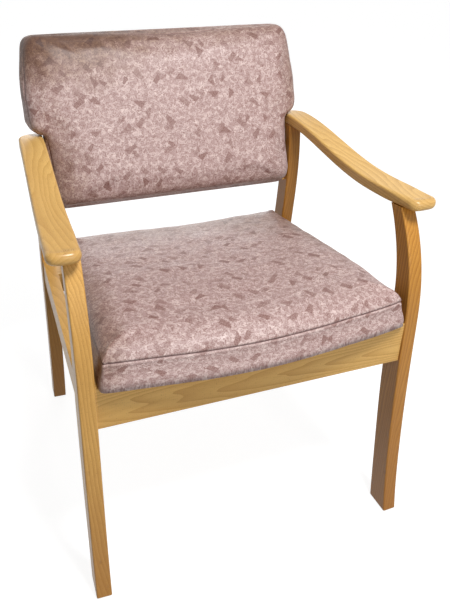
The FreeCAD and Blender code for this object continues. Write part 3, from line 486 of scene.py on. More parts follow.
def calc_vector(tree, operation, *vectors, output="Vector"):
    """An output of a Vector Math node."""
    return wire(tree, "ShaderNodeVectorMath", enumerate(vectors), operation=operation).outputs[output]


def split(tree, vector):
    """The three parts of a vector."""
    return wire(tree, "ShaderNodeSeparateXYZ", {0: vector}).outputs


def rise(tree, value, start, end):
    """A smooth step from 0 at start to 1 at end."""
    sockets = {"Value": value, "From Min": start, "From Max": end}
    return wire(tree, "ShaderNodeMapRange", sockets, interpolation_type="SMOOTHSTEP").outputs["Result"]


def mixed(tree, factor, under, over, blend="MIX"):
    """One colour laid over another."""
    sockets = {0: factor, 6: under, 7: over}
    return wire(tree, "ShaderNodeMix", sockets, data_type="RGBA", blend_type=blend).outputs[2]


def laid(tree, under, over, mask, share, blend="MIX"):
    """One colour laid over another where a mask is, by a share of it."""
    return mixed(tree, calc(tree, "MULTIPLY", mask, share), under, over, blend)


def mapped(tree, vector, scale=(1, 1, 1), rotation=(0, 0, 0), location=(0, 0, 0)):
    """Coordinates scaled, turned and moved."""
    sockets = {"Vector": vector, "Scale": scale, "Rotation": rotation, "Location": location}
    return wire(tree, "ShaderNodeMapping", sockets).outputs[0]


def noise(tree, vector, scale, detail=2.0, roughness=0.5, **choices):
    """The value of a noise texture."""
    sockets = {"Vector": vector, "Scale": scale, "Detail": detail, "Roughness": roughness}
    return wire(tree, "ShaderNodeTexNoise", sockets, **choices).outputs[0]


def cells(tree, vector, scale, output="Distance", **choices):
    """An output of a Voronoi texture."""
    return wire(tree, "ShaderNodeTexVoronoi", {"Vector": vector, "Scale": scale}, **choices).outputs[output]


def warped(tree, vector, scale, strength, **choices):
    """Coordinates pushed about by a noise: the vector + (noise - 0.5) * strength."""
    sockets = {"Vector": vector, "Scale": scale, "Detail": 2.0}
    field = wire(tree, "ShaderNodeTexNoise", sockets, **choices).outputs["Color"]
    shift = calc_vector(tree, "SUBTRACT", field, (0.5, 0.5, 0.5))
    return calc_vector(tree, "ADD", vector, calc_vector(tree, "MULTIPLY", shift, [strength] * 3))


def feed(tree, sockets, **values):
    """Joins outputs to named sockets; an underline in a name stands for a space."""
    for key, value in values.items():
        tree.links.new(value, sockets[key.replace("_", " ")])


def new_group(name, inputs, outputs):
    """A shader node group with named sockets: its tree, its inputs and its outputs."""
    tree = bpy.data.node_groups.new(name, "ShaderNodeTree")
    for way, sockets in (("INPUT", inputs), ("OUTPUT", outputs)):
        for label, kind in sockets.items():
            tree.interface.new_socket(label, in_out=way, socket_type=kind)
    return tree, tree.nodes.new("NodeGroupInput").outputs, tree.nodes.new("NodeGroupOutput").inputs


VECTOR, COLOUR, VALUE = "NodeSocketVector", "NodeSocketColor", "NodeSocketFloat"
SURFACE = {"Color": COLOUR, "Roughness": VALUE, "Height": VALUE}


def beech_group():
    """Beech along X: soft growth rings round a far axis, fibre streaks and short brown flecks."""
    tree, given, result = new_group("beech_grain", {
        "Vector": VECTOR, "Pale": COLOUR, "Deep": COLOUR, "Fleck": COLOUR,
        "Figure": VALUE, "Ring spacing": VALUE,
    }, SURFACE)
    place, pale, deep = given["Vector"], given["Pale"], given["Deep"]

    # Rings are drawn out ten times along the trunk; saw-toothed, they darken slowly and end at once.
    bent = warped(tree, mapped(tree, place, scale=(0.10, 1.0, 1.0)), 28.0, 0.020)
    sockets = {"Vector": bent, "Scale": given["Ring spacing"], "Distortion": 0.6, "Detail": 1.0}
    rings = wire(tree, "ShaderNodeTexWave", sockets,
                 wave_type="RINGS", rings_direction="X", wave_profile="SAW").outputs["Fac"]
    fibre = noise(tree, mapped(tree, place, scale=(14, 700, 700)), 1.0, 3.0, 0.6)
    patch = noise(tree, mapped(tree, place, scale=(1.5, 12, 12)), 1.0, 2.0)
    wood = laid(tree, pale, deep, calc(tree, "POWER", rings, 1.6), given["Figure"])
    wood = laid(tree, wood, deep, rise(tree, patch, 0.35, 0.75), 0.45)
    wood = laid(tree, wood, deep, rise(tree, fibre, 0.40, 0.75), 0.30)

    # Flecks are the middles of long narrow cells, in about two cells of five.
    dash = mapped(tree, place, scale=(300, 1300, 1300))
    chosen = wire(tree, "ShaderNodeSeparateColor", {0: cells(tree, dash, 1.0, "Color")}).outputs[0]
    middles = rise(tree, cells(tree, dash, 1.0), 0.34, 0.20)
    flecks = calc(tree, "MULTIPLY", middles, rise(tree, chosen, 0.58, 0.62))
    wood = laid(tree, wood, given["Fleck"], flecks, 0.55)
    rough = calc(tree, "MULTIPLY_ADD", fibre, 0.16, 0.30)
    grain = calc(tree, "MULTIPLY_ADD", fibre, 0.6, calc(tree, "MULTIPLY", flecks, -0.5))
    feed(tree, result, Color=wood, Roughness=rough, Height=grain)
    return tree


def wear_and_shade_group():
    """A patch of wear, soiling and painted shade: 1 at a centre, 0 past its reach, broken up by noise; with
    Both sides it is the same left and right."""
    tree, given, result = new_group("handled_wear", {
        "Vector": VECTOR, "Centre": VECTOR, "Stretch": VECTOR,
        "Reach": VALUE, "Breakup": VALUE, "Both sides": VALUE,
    }, {"Mask": VALUE})
    x, y, z = split(tree, given["Vector"])
    folded = calc(tree, "SUBTRACT", calc(tree, "ABSOLUTE", x), x)
    across = calc(tree, "MULTIPLY_ADD", folded, given["Both sides"], x)
    place = wire(tree, "ShaderNodeCombineXYZ", {0: across, 1: y, 2: z}).outputs[0]
    offset = calc_vector(tree, "SUBTRACT", place, given["Centre"])
    pulled = calc_vector(tree, "MULTIPLY", offset, given["Stretch"])
    away = calc_vector(tree, "LENGTH", pulled, output="Value")
    ragged = calc(tree, "SUBTRACT", noise(tree, given["Vector"], 55.0, 4.0), 0.5)
    near = calc(tree, "MULTIPLY_ADD", ragged, given["Breakup"], calc(tree, "DIVIDE", away, given["Reach"]))
    feed(tree, result, Mask=rise(tree, near, 1.0, 0.25))
    return tree


def dent_group():
    """Small dents and dark scuffs, more of them towards the floor."""
    tree, given, result = new_group("knocks", {"Vector": VECTOR, "Amount": VALUE}, {"Mask": VALUE})
    low = rise(tree, split(tree, given["Vector"])[2], 0.34, 0.02)
    spots = cells(tree, mapped(tree, given["Vector"], scale=(70, 70, 34)), 1.0)
    chosen = rise(tree, noise(tree, given["Vector"], 24.0, 1.0), 0.52, 0.66)
    marks = calc(tree, "MULTIPLY", rise(tree, spots, 0.30, 0.10), chosen)
    share_low = calc(tree, "MULTIPLY", calc(tree, "ADD", low, 0.12), given["Amount"])
    feed(tree, result, Mask=calc(tree, "MULTIPLY", marks, share_low))
    return tree


def cut_shapes(tree, vector, size, shift, shares, least, metric):
    """Half discs or triangles of random turn and size, one in each cell of a jumble in the flat:
    inside a reach about the cell's point (round, or a diamond), and on one side of a line by it."""
    field = mapped(tree, vector, scale=(size, size, 1.0), location=(shift, shift, 0.0))
    sockets = {"Vector": field, "Scale": 1.0}
    spot = wire(tree, "ShaderNodeTexVoronoi", sockets, voronoi_dimensions="2D", distance=metric).outputs
    away = calc_vector(tree, "SUBTRACT", field, spot["Position"])
    draw = wire(tree, "ShaderNodeSeparateColor", {0: spot["Color"]}).outputs
    turned = calc(tree, "MULTIPLY", draw[2], 2 * math.pi)
    sockets = {0: calc(tree, "COSINE", turned), 1: calc(tree, "SINE", turned)}
    facing = wire(tree, "ShaderNodeCombineXYZ", sockets).outputs[0]
    side = calc_vector(tree, "DOT_PRODUCT", away, facing, output="Value")
    reach = calc(tree, "MULTIPLY_ADD", draw[0], shares[1] - shares[0], shares[0])
    inside = rise(tree, calc(tree, "SUBTRACT", reach, spot["Distance"]), 0.0, 0.04)
    shape = calc(tree, "MULTIPLY", inside, rise(tree, side, -0.02, 0.02))
    return calc(tree, "MULTIPLY", shape, calc(tree, "MULTIPLY_ADD", draw[1], 1.0 - least, least))


def vinyl_group():
    """Printed vinyl: pale lace and patches and darker half leaves on a plain ground, all under a
    fine even speckle, with an embossed pore. The print reads the flat cloth's own coordinates."""
    tree, given, result = new_group("printed_vinyl", {
        "Cloth": VECTOR, "Ground": COLOUR, "Vein": COLOUR, "Leaf": COLOUR, "Crinkle": VALUE,
    }, SURFACE)
    cloth, vein, leaf, flat = given["Cloth"], given["Vein"], given["Leaf"], {"noise_dimensions": "2D"}
    bent = warped(tree, cloth, 120.0, 0.009, **flat)

    # The lace is the lines where a noise crosses its middle value, in broken stretches.
    crossing = calc(tree, "SUBTRACT", noise(tree, bent, 82.0, 1.0, 0.5, **flat), 0.5)
    ridge = rise(tree, calc(tree, "ABSOLUTE", crossing), 0.030, 0.020)
    broken = rise(tree, noise(tree, cloth, 55.0, 1.0, 0.5, **flat), 0.44, 0.52)
    mottle = noise(tree, bent, 26.0, 3.0, 0.6, **flat)
    patch = noise(tree, bent, 118.0, 1.0, 0.5, **flat)
    pores = cells(tree, cloth, 440.0, voronoi_dimensions="2D")
    layers = (
        (leaf, rise(tree, mottle, 0.46, 0.30), 0.14),
        (vein, rise(tree, patch, 0.570, 0.585), 0.42),
        (leaf, rise(tree, patch, 0.385, 0.365), 0.22),
        (vein, calc(tree, "MULTIPLY", ridge, broken), 0.74),
        (vein, cut_shapes(tree, bent, 104.0, 3.7, (0.28, 0.55), 0.3, "EUCLIDEAN"), 0.42),
        (leaf, cut_shapes(tree, bent, 52.0, 1.3, (0.16, 0.34), 0.1, "MANHATTAN"), 0.45),
        (leaf, cut_shapes(tree, cloth, 25.0, 0.4, (0.26, 0.42), 0.55, "MANHATTAN"), 0.90),
        (vein, rise(tree, pores, 0.42, 0.14), 0.22),
        (leaf, rise(tree, pores, 0.50, 0.78), 0.58),
    )
    printed = given["Ground"]
    for ink, mask, share_of_ink in layers:
        printed = laid(tree, printed, ink, mask, share_of_ink)
    rough = calc(tree, "MULTIPLY_ADD", mottle, 0.16, 0.42)
    folds = noise(tree, mapped(tree, cloth, scale=(26, 190, 1)), 1.0, 3.0, 0.6, **flat)
    height = calc(tree, "MULTIPLY_ADD", pores, 0.10, calc(tree, "MULTIPLY", folds, given["Crinkle"]))
    feed(tree, result, Color=printed, Roughness=rough, Height=height)
    return tree


# The wear group shapes the worn noses of the armrests and the vinyl's patches of soiling and painted shade.
GROUP_MAKERS = {"beech": beech_group, "wear": wear_and_shade_group, "dents": dent_group, "vinyl": vinyl_group}
GROUPS = {}


def placed(tree, name, sockets):
    """A shared group set in a material with its own values, made the first time that it is used."""
    if name not in GROUPS:
        GROUPS[name] = GROUP_MAKERS[name]()
    return wire(tree, "ShaderNodeGroup", sockets, node_tree=GROUPS[name]).outputs


def new_material(name, roughness=0.5, metallic=0.0, **shader):
    """A material with its tree, its shader and the object's own coordinates."""
    material = bpy.data.materials.new(name)
    material.use_nodes = True
    tree = material.node_tree
    principled = tree.nodes["Principled BSDF"]
    principled.inputs["Roughness"].default_value = roughness
    principled.inputs["Metallic"].default_value = metallic
    for key, value in shader.items():
        principled.inputs[key.replace("_", " ")].default_value = value
    here = tree.nodes.new("ShaderNodeTexCoord").outputs["Object"]
    return material, tree, principled.inputs, here


def bump(tree, height, distance):
    """The normal of a height map whose full range is a distance in metres."""
    return wire(tree, "ShaderNodeBump", {"Height": height, "Distance": distance, "Strength": 1.0}).outputs[0]


def looked_at(tree):
    """1 for rays that come from the eye or by way of a mirror or a glass, else 0."""
    rays = tree.nodes.new("ShaderNodeLightPath").outputs
    mirrored = calc(tree, "MAXIMUM", rays["Is Glossy Ray"], rays["Is Transmission Ray"])
    return calc(tree, "MAXIMUM", rays["Is Camera Ray"], mirrored)


# Turns that lay X, the grain of the shared beech, along each axis of the chair.
ALONG = {"X": (0, 0, 0), "Y": (0, 0, -math.pi / 2), "Z": (0, math.pi / 2, 0)}
# How high up the legs the timber grows darker towards the floor, and how strong that is at the floor.
LOW_DARKENING_TOP, LOW_DARKENING_SHARE = 0.42, 0.64
# Where hands wear the noses of the armrests: its stretch, its reach and its strength.
NOSE_STRETCH, NOSE_REACH, NOSE_SHARE = (0.45, 1.0, 1.0), 0.020, 0.34


def beech(name, axis, seed, figure, deepened_and_shaded, heart=None, lean=0.0, nose_wear=0.0):
    """Lacquered beech whose grain runs along an axis, cut from its own place in the log: nearer its heart and
    at a lean the growth rings show as arches. Deepened timber is a deeper amber, which is partly painted
    shade."""
    finish = settings("timber")
    material, tree, shader, here = new_material(
        name, Coat_Weight=0.10, Coat_Roughness=0.20, Specular_IOR_Level=0.25)
    turned = mapped(tree, here, rotation=ALONG[axis])
    off_heart = heart or (0.045 + 0.013 * (seed % 5), 0.062 + 0.011 * (seed % 3))
    cut = mapped(tree, turned, rotation=(0.0, 0.0, lean), location=(0.31 * seed, *off_heart))
    # Each timber is drawn to amber and umber by its share, partly painted shade.
    pale, deep = (
        [new + (old - new) * deepened_and_shaded for new, old in zip(light, dark)]
        for light, dark in ((finish.pale, finish.amber), (finish.deep, finish.umber)))
    grain = placed(tree, "beech", {
        "Vector": cut, "Pale": pale, "Deep": deep, "Fleck": finish.fleck,
        "Figure": figure, "Ring spacing": 62.0,
    })
    worn = placed(tree, "wear", {
        "Vector": here, "Centre": NOSE, "Stretch": NOSE_STRETCH, "Reach": NOSE_REACH,
        "Breakup": 0.9, "Both sides": 1.0,
    })["Mask"]
    worn = calc(tree, "MULTIPLY", worn, nose_wear)
    knocks = placed(tree, "dents", {"Vector": here, "Amount": 0.9})["Mask"]
    # The timber is darker towards the floor, drawn to umber.
    low = rise(tree, split(tree, here)[2], LOW_DARKENING_TOP, 0.0)
    wood = laid(tree, grain["Color"], finish.worn, worn, NOSE_SHARE)
    wood = laid(tree, wood, finish.umber, low, LOW_DARKENING_SHARE)
    wood = laid(tree, wood, finish.fleck, knocks, 0.8)
    rubbed = calc(tree, "MULTIPLY_ADD", worn, -0.12, grain["Roughness"])
    relief = calc(tree, "MULTIPLY_ADD", knocks, -6.0, grain["Height"])
    feed(tree, shader, Base_Color=wood, Roughness=rubbed, Normal=bump(tree, relief, 0.00012))
    return material


def cover(name, soiled_and_shaded, crinkle):
    """Printed vinyl, darkened round given places by soiling and by painted shade, dark in the seams and
    lighter on their lips, a painted highlight. A place is its centre, its stretch, its reach and its
    strength."""
    finish = settings("vinyl")
    material, tree, shader, here = new_material(name, Coat_Weight=0.06, Coat_Roughness=0.50)
    cloth = placed(tree, "vinyl", {
        "Cloth": wire(tree, "ShaderNodeAttribute", attribute_name="cloth").outputs["Vector"],
        "Ground": finish.ground, "Vein": finish.vein, "Leaf": finish.leaf, "Crinkle": crinkle,
    })
    shade = cloth["Color"]
    # Each place darkens the print towards the soil colour: partly soiling, partly painted shade.
    for centre, stretch, reach, strength in soiled_and_shaded:
        mask = placed(tree, "wear", {
            "Vector": here, "Centre": centre, "Stretch": stretch, "Reach": reach, "Breakup": 0.5,
        })["Mask"]
        shade = laid(tree, shade, finish.soil_and_shade, mask, strength, "MULTIPLY")
    seam = wire(tree, "ShaderNodeAttribute", attribute_name="seam").outputs["Fac"]
    away = calc(tree, "ABSOLUTE", seam)
    # A painted highlight: the lips beside each seam are made lighter.
    shade = laid(tree, shade, finish.vein, rise(tree, away, 0.0050, 0.0022), 0.10)
    shade = laid(tree, shade, finish.stitch, rise(tree, away, 0.0015, 0.0006), 0.85)
    pores = bump(tree, cloth["Height"], 0.0009)
    feed(tree, shader, Base_Color=shade, Roughness=cloth["Roughness"], Normal=pores)
    return material


# ---- Timber, boards and hardware ----
# Each timber's grain axis, its place in the log, how strong its growth rings are and how far it is deepened
# to amber, which is partly painted shade on the legs whose faces in view lie in shade.
TIMBERS = {
    "right_front_leg": ("Z", 1, 0.75, 1.0),
    "left_front_leg": ("Z", 2, 0.70, 0.4),
    "right_rear_leg": ("Z", 3, 0.65, 1.0),
    "left_rear_leg": ("Z", 4, 0.65, 0.7),
    "right_armrest": ("Y", 5, 0.68, 0.0),
    "left_armrest": ("Y", 6, 0.68, 0.0),
    "right_side_rail": ("Y", 7, 0.45, 0.4),
    "left_side_rail": ("Y", 8, 0.45, 0.4),
    "front_rail": ("X", 9, 0.75, 0.12),
    "rear_rail": ("X", 10, 0.5, 0.4),
    "back_rail": ("X", 11, 0.5, 0.4),
    "right_front_corner_block": ("X", 12, 0.5, 0.2),
    "left_front_corner_block": ("X", 13, 0.5, 0.2),
    "right_rear_corner_block": ("X", 14, 0.5, 0.2),
    "left_rear_corner_block": ("X", 15, 0.5, 0.2),
}
# The front rail is cut by the heart of its log and at a lean, so that its face shows arches.
RAIL_HEART, RAIL_LEAN = (0.252, -0.380), 0.06


def finish_nodes(material, *names):
    """Gives nodes of the frame a material, and no other."""
    for name in names:
        dress(NODES[name], material)


class ARMCHAIR_OT_beech_frame(bpy.types.Operator):
    """Lacquers the legs, armrests, rails and corner blocks"""
    bl_idname = "armchair.beech_frame"
    bl_label = "Beech frame"

    def execute(self, context):
        for node, (axis, seed, figure, deepened_and_shaded) in TIMBERS.items():
            wear = 1.0 if "armrest" in node else 0.0
            heart, lean = (RAIL_HEART, RAIL_LEAN) if node == "front_rail" else (None, 0.0)
            finish_nodes(beech(f"{node}_beech", axis, seed, figure, deepened_and_shaded, heart, lean, wear), node)
        return {"FINISHED"}


class ARMCHAIR_OT_boards(bpy.types.Operator):
    """Finishes the plywood boards and the dowels"""
    bl_idname = "armchair.boards"
    bl_label = "Boards and dowels"

    def execute(self, context):
        finish = settings("timber")
        material, tree, shader, here = new_material("bare_plywood", roughness=0.7)
        grain = placed(tree, "beech", {
            "Vector": mapped(tree, here, location=(0.3, 0.11, 0.07)), "Pale": finish.ply, "Deep": finish.deep,
            "Fleck": finish.fleck, "Figure": 0.35, "Ring spacing": 26.0,
        })
        feed(tree, shader, Base_Color=grain["Color"], Normal=bump(tree, grain["Height"], 0.0002))
        joints = ("front_rail", "rear_rail", "back_rail", "side_rail", "armrest")
        finish_nodes(material, "seat_board", "back_board", *[f"{joint}_dowels" for joint in joints])
        return {"FINISHED"}


class ARMCHAIR_OT_hardware(bpy.types.Operator):
    """Finishes the screws, bolts, spacers and glides"""
    bl_idname = "armchair.hardware"
    bl_label = "Hardware"

    def execute(self, context):
        zinc, tree, shader, here = new_material("zinc_plate", roughness=0.32, metallic=1.0)
        dull = noise(tree, here, 900.0, 3.0)
        metal = mixed(tree, dull, (0.62, 0.60, 0.55, 1), (0.42, 0.40, 0.36, 1))
        feed(tree, shader, Base_Color=metal, Normal=bump(tree, dull, 0.00004))
        finish_nodes(zinc, "corner_block_screws", "seat_screws", "back_rail_screws", "back_bolts")

        brown, tree, shader, here = new_material("brown_glide", roughness=0.55)
        scratch = noise(tree, mapped(tree, here, scale=(900, 300, 300)), 1.0, 3.0)
        plastic = mixed(tree, scratch, (0.025, 0.018, 0.014, 1), (0.07, 0.055, 0.045, 1))
        feed(tree, shader, Base_Color=plastic, Normal=bump(tree, scratch, 0.0001))
        finish_nodes(brown, "back_spacers", "leg_glides")
        return {"FINISHED"}


# ---- Seat pad ----
# How full the front of the seat cover is: places across (-1 left, 1 right) and lengths in metres.
FRONT_SLACK = (
    (-1.00, -0.90, -0.75, -0.60, -0.30, 0.00, 0.20, 0.55, 0.77, 0.90, 1.00),
    (0.0150, 0.0110, 0.0065, 0.0040, 0.0025, 0.0015, 0.0, -0.0015, 0.0020, 0.0040, 0.0060),
)
# Where the front border begins and ends, in shares of the way from the middle of the seat forward.
FRONT_ZONE = (0.60, 0.86)
# Heights over the seat pad's base, in metres: up to where the cover is held and is turned under, and
# where the upper face of the board lies, with a little room.
HELD_UNDER, TURNED_UNDER, OVER_BOARD = 0.010, 0.008, 0.0126
# In metres: the pull at the front corners, the uneven foam, the sat-in middle and the rear edge.
CORNER_PULL, SEAT_FOAM, SAT_IN, REAR_SUNK = 0.0022, 0.0011, 0.0030, 0.0065
# Darkened places on the seat, partly soiling and partly painted shade: the armrests' shadows along both
# sides, and shade at the rear and by the left front leg. Each is a centre, stretch, reach and strength.
SEAT_SOIL_AND_SHADE = (
    ((0.0, 0.20, 0.46), (0.42, 1.0, 0.4), 0.14, 0.50),
    ((0.20, 0.16, 0.46), (0.7, 0.6, 0.4), 0.12, 0.50),
    ((0.26, 0.00, 0.47), (1.0, 0.30, 0.5), 0.07, 0.55),
    ((-0.27, -0.10, 0.47), (1.0, 0.30, 0.5), 0.08, 0.55),
    ((-0.27, -0.24, 0.48), (1.0, 0.6, 0.5), 0.07, 0.45),
)


def seat_rings(size, outline, middle, reach, base):
    """The seat pad's rings. Its profile, in (distance in from the outline, height over the base), is
    a flat base, a small round lower edge, a border with a slight belly (a half sine wave) up to the
    seam, and the roll of the top (a quarter ellipse); inside that the outline shrinks to the middle,
    and the top is crowned by (1 - x^2)(1 - y^2)."""
    lower, start, inset, belly = 0.003, 0.005, 0.0010, 0.0015
    wall = np.linspace(start, size.seam_height, 14)
    up_wall = (wall - start) / (size.seam_height - start)
    border = np.column_stack([inset - belly * np.sin(math.pi * up_wall), wall])
    over_seam = (size.roll, size.front_height - size.seam_height)
    edge = np.concatenate([
        arc((inset + lower, lower), (lower, lower), 268, 182, 5),
        border,
        arc((inset + size.roll, size.seam_height), over_seam, 180, 92, 14)[1:],
    ])
    inside = inward(outline)
    brim, top = outline + inside * edge[-1, 0], base + edge[-1, 1]
    rings = disc(outline, middle, (0.04, 0.97, 24), 2, base)
    rings += [ring(outline + inside * d, 2, base + height) for d, height in edge]
    rings += disc(brim, middle, (0.985, 0.04, 34), 2, top)
    grid = np.array(rings)
    x, y = spread(grid, (0, 1), middle, reach)
    raised = ease(grid[:, :, 2], base + size.seam_height, top)
    grid[:, :, 2] += size.crown * (1 - x ** 2) * (1 - y ** 2) * raised
    return grid


def border_push(size, x, y, above, distance):
    """How far the seat's border is pushed out: a belly (a bell) under the seam at the front, less the
    groove of the seam, and less a pull (a narrow bell across) at each front corner."""
    on_border = ease(distance, -0.016, -0.010)
    ahead = ease(-y, *FRONT_ZONE) * on_border
    below_seam = ease(above, -0.026, -0.004) * ease(above, 0.012, 0.0)
    pull = CORNER_PULL * bell(np.abs(x), 0.955, 0.012) * below_seam
    belly = size.belly * bell(above, -0.034, 0.014)
    return (belly - pull) * ahead - groove(above, 0.0018, 0.0006) * on_border


def settle_top(own, size, x, y, base, distance):
    """Settles the top of the seat: uneven foam, a sat-in middle (a bell), the fall to the rear and a
    sunk rear edge. Gives how far along the cloth each point lies past the edge of the flat top."""
    seam = base + size.seam_height
    on_top = ease(own[:, 2], seam, seam + 0.010)
    own[:, 2] += SEAT_FOAM * settled(own[:, 0], own[:, 1], 3, 0.045) * on_top
    own[:, 2] -= SAT_IN * bell(np.hypot(x * 0.9, y - 0.1), 0.0, 0.55) * on_top
    past_seam = np.clip(seam - own[:, 2], 0, None)
    past_roll = np.clip(base + size.front_height - 0.002 - own[:, 2], 0, None)
    drop = (0.75 * past_seam + 0.65 * past_roll) * ease(distance, -0.034, -0.022)
    own[:, 2] -= (own[:, 2] - base) * size.fall * ease(y, -0.48, 1.0)
    own[:, 2] -= REAR_SUNK * bell(x, 0.10, 0.50) * ease(y, 0.4, 1.0) * on_top
    return drop


class ARMCHAIR_OT_seat_pad(bpy.types.Operator):
    """Makes the bow-fronted seat pad with its border seam"""
    bl_idname = "armchair.seat_pad"
    bl_label = "Seat pad"

    def execute(self, context):
        size = settings("seat_pad")
        axes = tilted(size.slope)
        base = (node_points("seat_cushion") @ axes.T)[:, 2].min()
        outline = squared_up(girth("seat_cushion", axes, 2, base + 0.020))
        middle, reach = spans(outline)

        # The front border stands past the cut outline, most at the corners, where the cover is full.
        ahead = ease(-(outline[:, 1] - middle[1]) / reach[1], *FRONT_ZONE)
        slack = np.interp(outline[:, 0] / reach[0], *FRONT_SLACK)
        outline[:, 1] -= (slack + size.overhang) * ahead
        outline = softened(outline, 0.0045)

        form = shell("seat_pad_form", seat_rings(size, outline, middle, reach, base) @ axes)
        on_board = base + HELD_UNDER
        pad = held_cloth(form, "seat_pad", size, lambda points: (points @ axes.T)[:, 2] < on_board)
        seam = base + size.seam_height
        scored(pad, axes[2], seam)
        own = mesh_points(pad.data) @ axes.T
        for axis in (0, 1):
            fitted(own, axis, outline[:, axis].min() - 0.0005, outline[:, axis].max() + 0.0005)
        distance, out = beside(own[:, :2], outline)
        above = own[:, 2] - seam
        x, y = ((own[:, :2] - middle) / reach).T

        own[:, :2] += out * border_push(size, x, y, above, distance)[:, None]
        drop = settle_top(own, size, x, y, base, distance)

        # The cover is turned under to the edge of the board, which sits up inside it.
        under = own[:, 2] < base + TURNED_UNDER
        own[under, 2] = np.minimum(own[under, 2], base + 0.0006)
        board = girth("seat_board", axes, 2, base + 0.006)
        make_room(own, (0, 1), 2, under, board, base + OVER_BOARD)
        move_points(pad, own @ axes)
        away = np.where(above > -0.02, above, NO_SEAM)
        spread_out(pad, away, own[:, :2] + out * drop[:, None])
        put_on(pad, cover("seat_vinyl", SEAT_SOIL_AND_SHADE, 0.8), "seat_cushion")
        return {"FINISHED"}


# ---- Back pad and its rear panel ----
# Where the slope of the back block's shoulders starts and ends over its lower edge, in metres.
SHOULDER = (0.145, 0.175)
# Half the room for the back between the rear ends of the armrests, in metres.
BETWEEN_ARMS = 0.2530
# Depths from the rear of the back, in metres: as far as the cover is held and is turned in, and
# where the front face of the board lies, with a little room.
HELD_BEHIND, TURNED_IN, BEFORE_BOARD = 0.022, 0.008, 0.0176
# The share by which the back fills out over its shoulders.
FULLER = 0.022
# In metres: how much steeper the shoulders are made, the uneven foam and the tuck in the corner.
STEEPENING, BACK_FOAM, TUCK = 0.018, 0.0010, 0.0026
# Darkened places on the back, partly soiling and partly painted shade: the armrest's shadow on the lower
# left, shade at the top left and down the right edge, and darker bands along the top and the bottom. Each is
# a centre, stretch, reach and strength.
BACK_SOIL_AND_SHADE = (
    ((-0.25, 0.28, 0.85), (0.45, 0.8, 1.0), 0.16, 0.82),
    ((-0.23, 0.28, 0.85), (0.50, 0.8, 1.0), 0.12, 0.72),
    ((0.29, 0.24, 0.70), (1.0, 0.5, 0.3), 0.070, 0.55),
    ((0.0, 0.28, 0.86), (0.12, 0.8, 1.0), 0.090, 0.65),
    ((0.0, 0.12, 0.49), (0.12, 0.8, 1.0), 0.090, 0.60),
    ((-0.28, 0.14, 0.55), (1.0, 0.8, 0.6), 0.130, 0.75),
)


def back_rings(size, outlines, middle, reach, low, high):
    """The back pad's rings. Its profile, in (distance in from the outline, depth behind the front),
    is a flat rear, a small round edge, a wall with a slight belly (a half sine wave) and the roll
    into the front, whose outline is softer than the rear's; inside that the outline shrinks to the
    middle, crowned by (1 - x^2)(1 - up^2) and sunk in the middle of its top edge."""
    front_loop, rear_loop = outlines
    front_y, rear_y = low[1], high[1]
    thick, lower = rear_y - front_y, 0.003
    wall_end = thick - 0.004
    wall = np.linspace(wall_end, size.roll, 10)
    belly = -0.0010 * np.sin(math.pi * (wall - size.roll) / (wall_end - size.roll))
    edge = np.concatenate([
        arc((lower, thick - lower), (lower, lower), 92, 178, 5),
        np.column_stack([belly, wall]),
        arc((size.roll, size.roll), (size.roll, size.roll - 0.004), 180, 268, 16)[1:],
    ])
    rings = disc(rear_loop, middle, (0.04, 0.97, 22), 1, rear_y)
    for d, depth in edge:
        loop = front_loop + (rear_loop - front_loop) * ease(depth, 0.012, 0.050)
        brim = loop + inward(loop) * d
        rings.append(ring(brim, 1, front_y + depth))
    rings += disc(brim, middle, (0.98, 0.04, 32), 1, front_y + edge[-1, 1])
    grid = np.array(rings)
    x, up = spread(grid, (0, 2), middle, reach)
    forward = ease(rear_y - grid[:, :, 1], 0.030, thick - 0.012)
    grid[:, :, 1] -= size.crown * (1 - x ** 2) * (1 - up ** 2) * forward
    grid[:, :, 2] -= size.dip * bell(x, 0.08, 0.50) * ease(up, 0.2, 1.0) * forward
    return grid


def let_down(grid, size, axes, foot):
    """Lets the shoulders down level on to the armrests, and makes their slope steep. The whole move
    is made between the slope's start and end; it dies away to nought in straight lines on both sides
    of them, and the steepening likewise on both sides of the slope's end."""
    start, end = SHOULDER
    below, above = 0.09, 0.235
    height = grid[:, :, 2] - foot
    level = (size.shoulder - grid[:, :, 1] * axes[1, 2]) / axes[2, 2] - foot
    grid[:, :, 2] += (level - start) * np.interp(height, (below, start, end, above), (0, 1, 1, 0))
    grid[:, :, 2] -= STEEPENING * np.interp(height, (start, end, above), (0, 1, 0))


def widen(own, size, foot, head):
    """Fills the pad out over its shoulders, by a share of its width that eases in above them and out
    below its head, and flares the lower ends of the shoulders (a bell of the height)."""
    over = own[:, 2] - foot - SHOULDER[0]
    own[:, 0] *= 1 + FULLER * ease(over, 0.0, 0.09) * ease(own[:, 2], head, head - 0.096)
    flare = size.flare * bell(over, 0.014, 0.024) * ease(np.abs(own[:, 0]), 0.250, 0.268)
    own[:, 0] += flare * np.sign(own[:, 0])


def settle_front(own, x, up, front_y, rear_y):
    """Settles the front of the back: uneven foam, and a slanting tuck in its lower right corner, the
    product of a narrow bell across it and a wide one along it."""
    on_front = ease(rear_y - own[:, 1], 0.035, rear_y - front_y - 0.010)
    own[:, 1] += BACK_FOAM * settled(own[:, 0], own[:, 2], 8, 0.06) * on_front
    x, up = x - 0.86, up + 0.86
    across, along = x * 0.8 + up * 0.6, x * 0.6 - up * 0.8
    own[:, 1] += TUCK * bell(across, 0, 0.022) * bell(along, 0, 0.13) * on_front


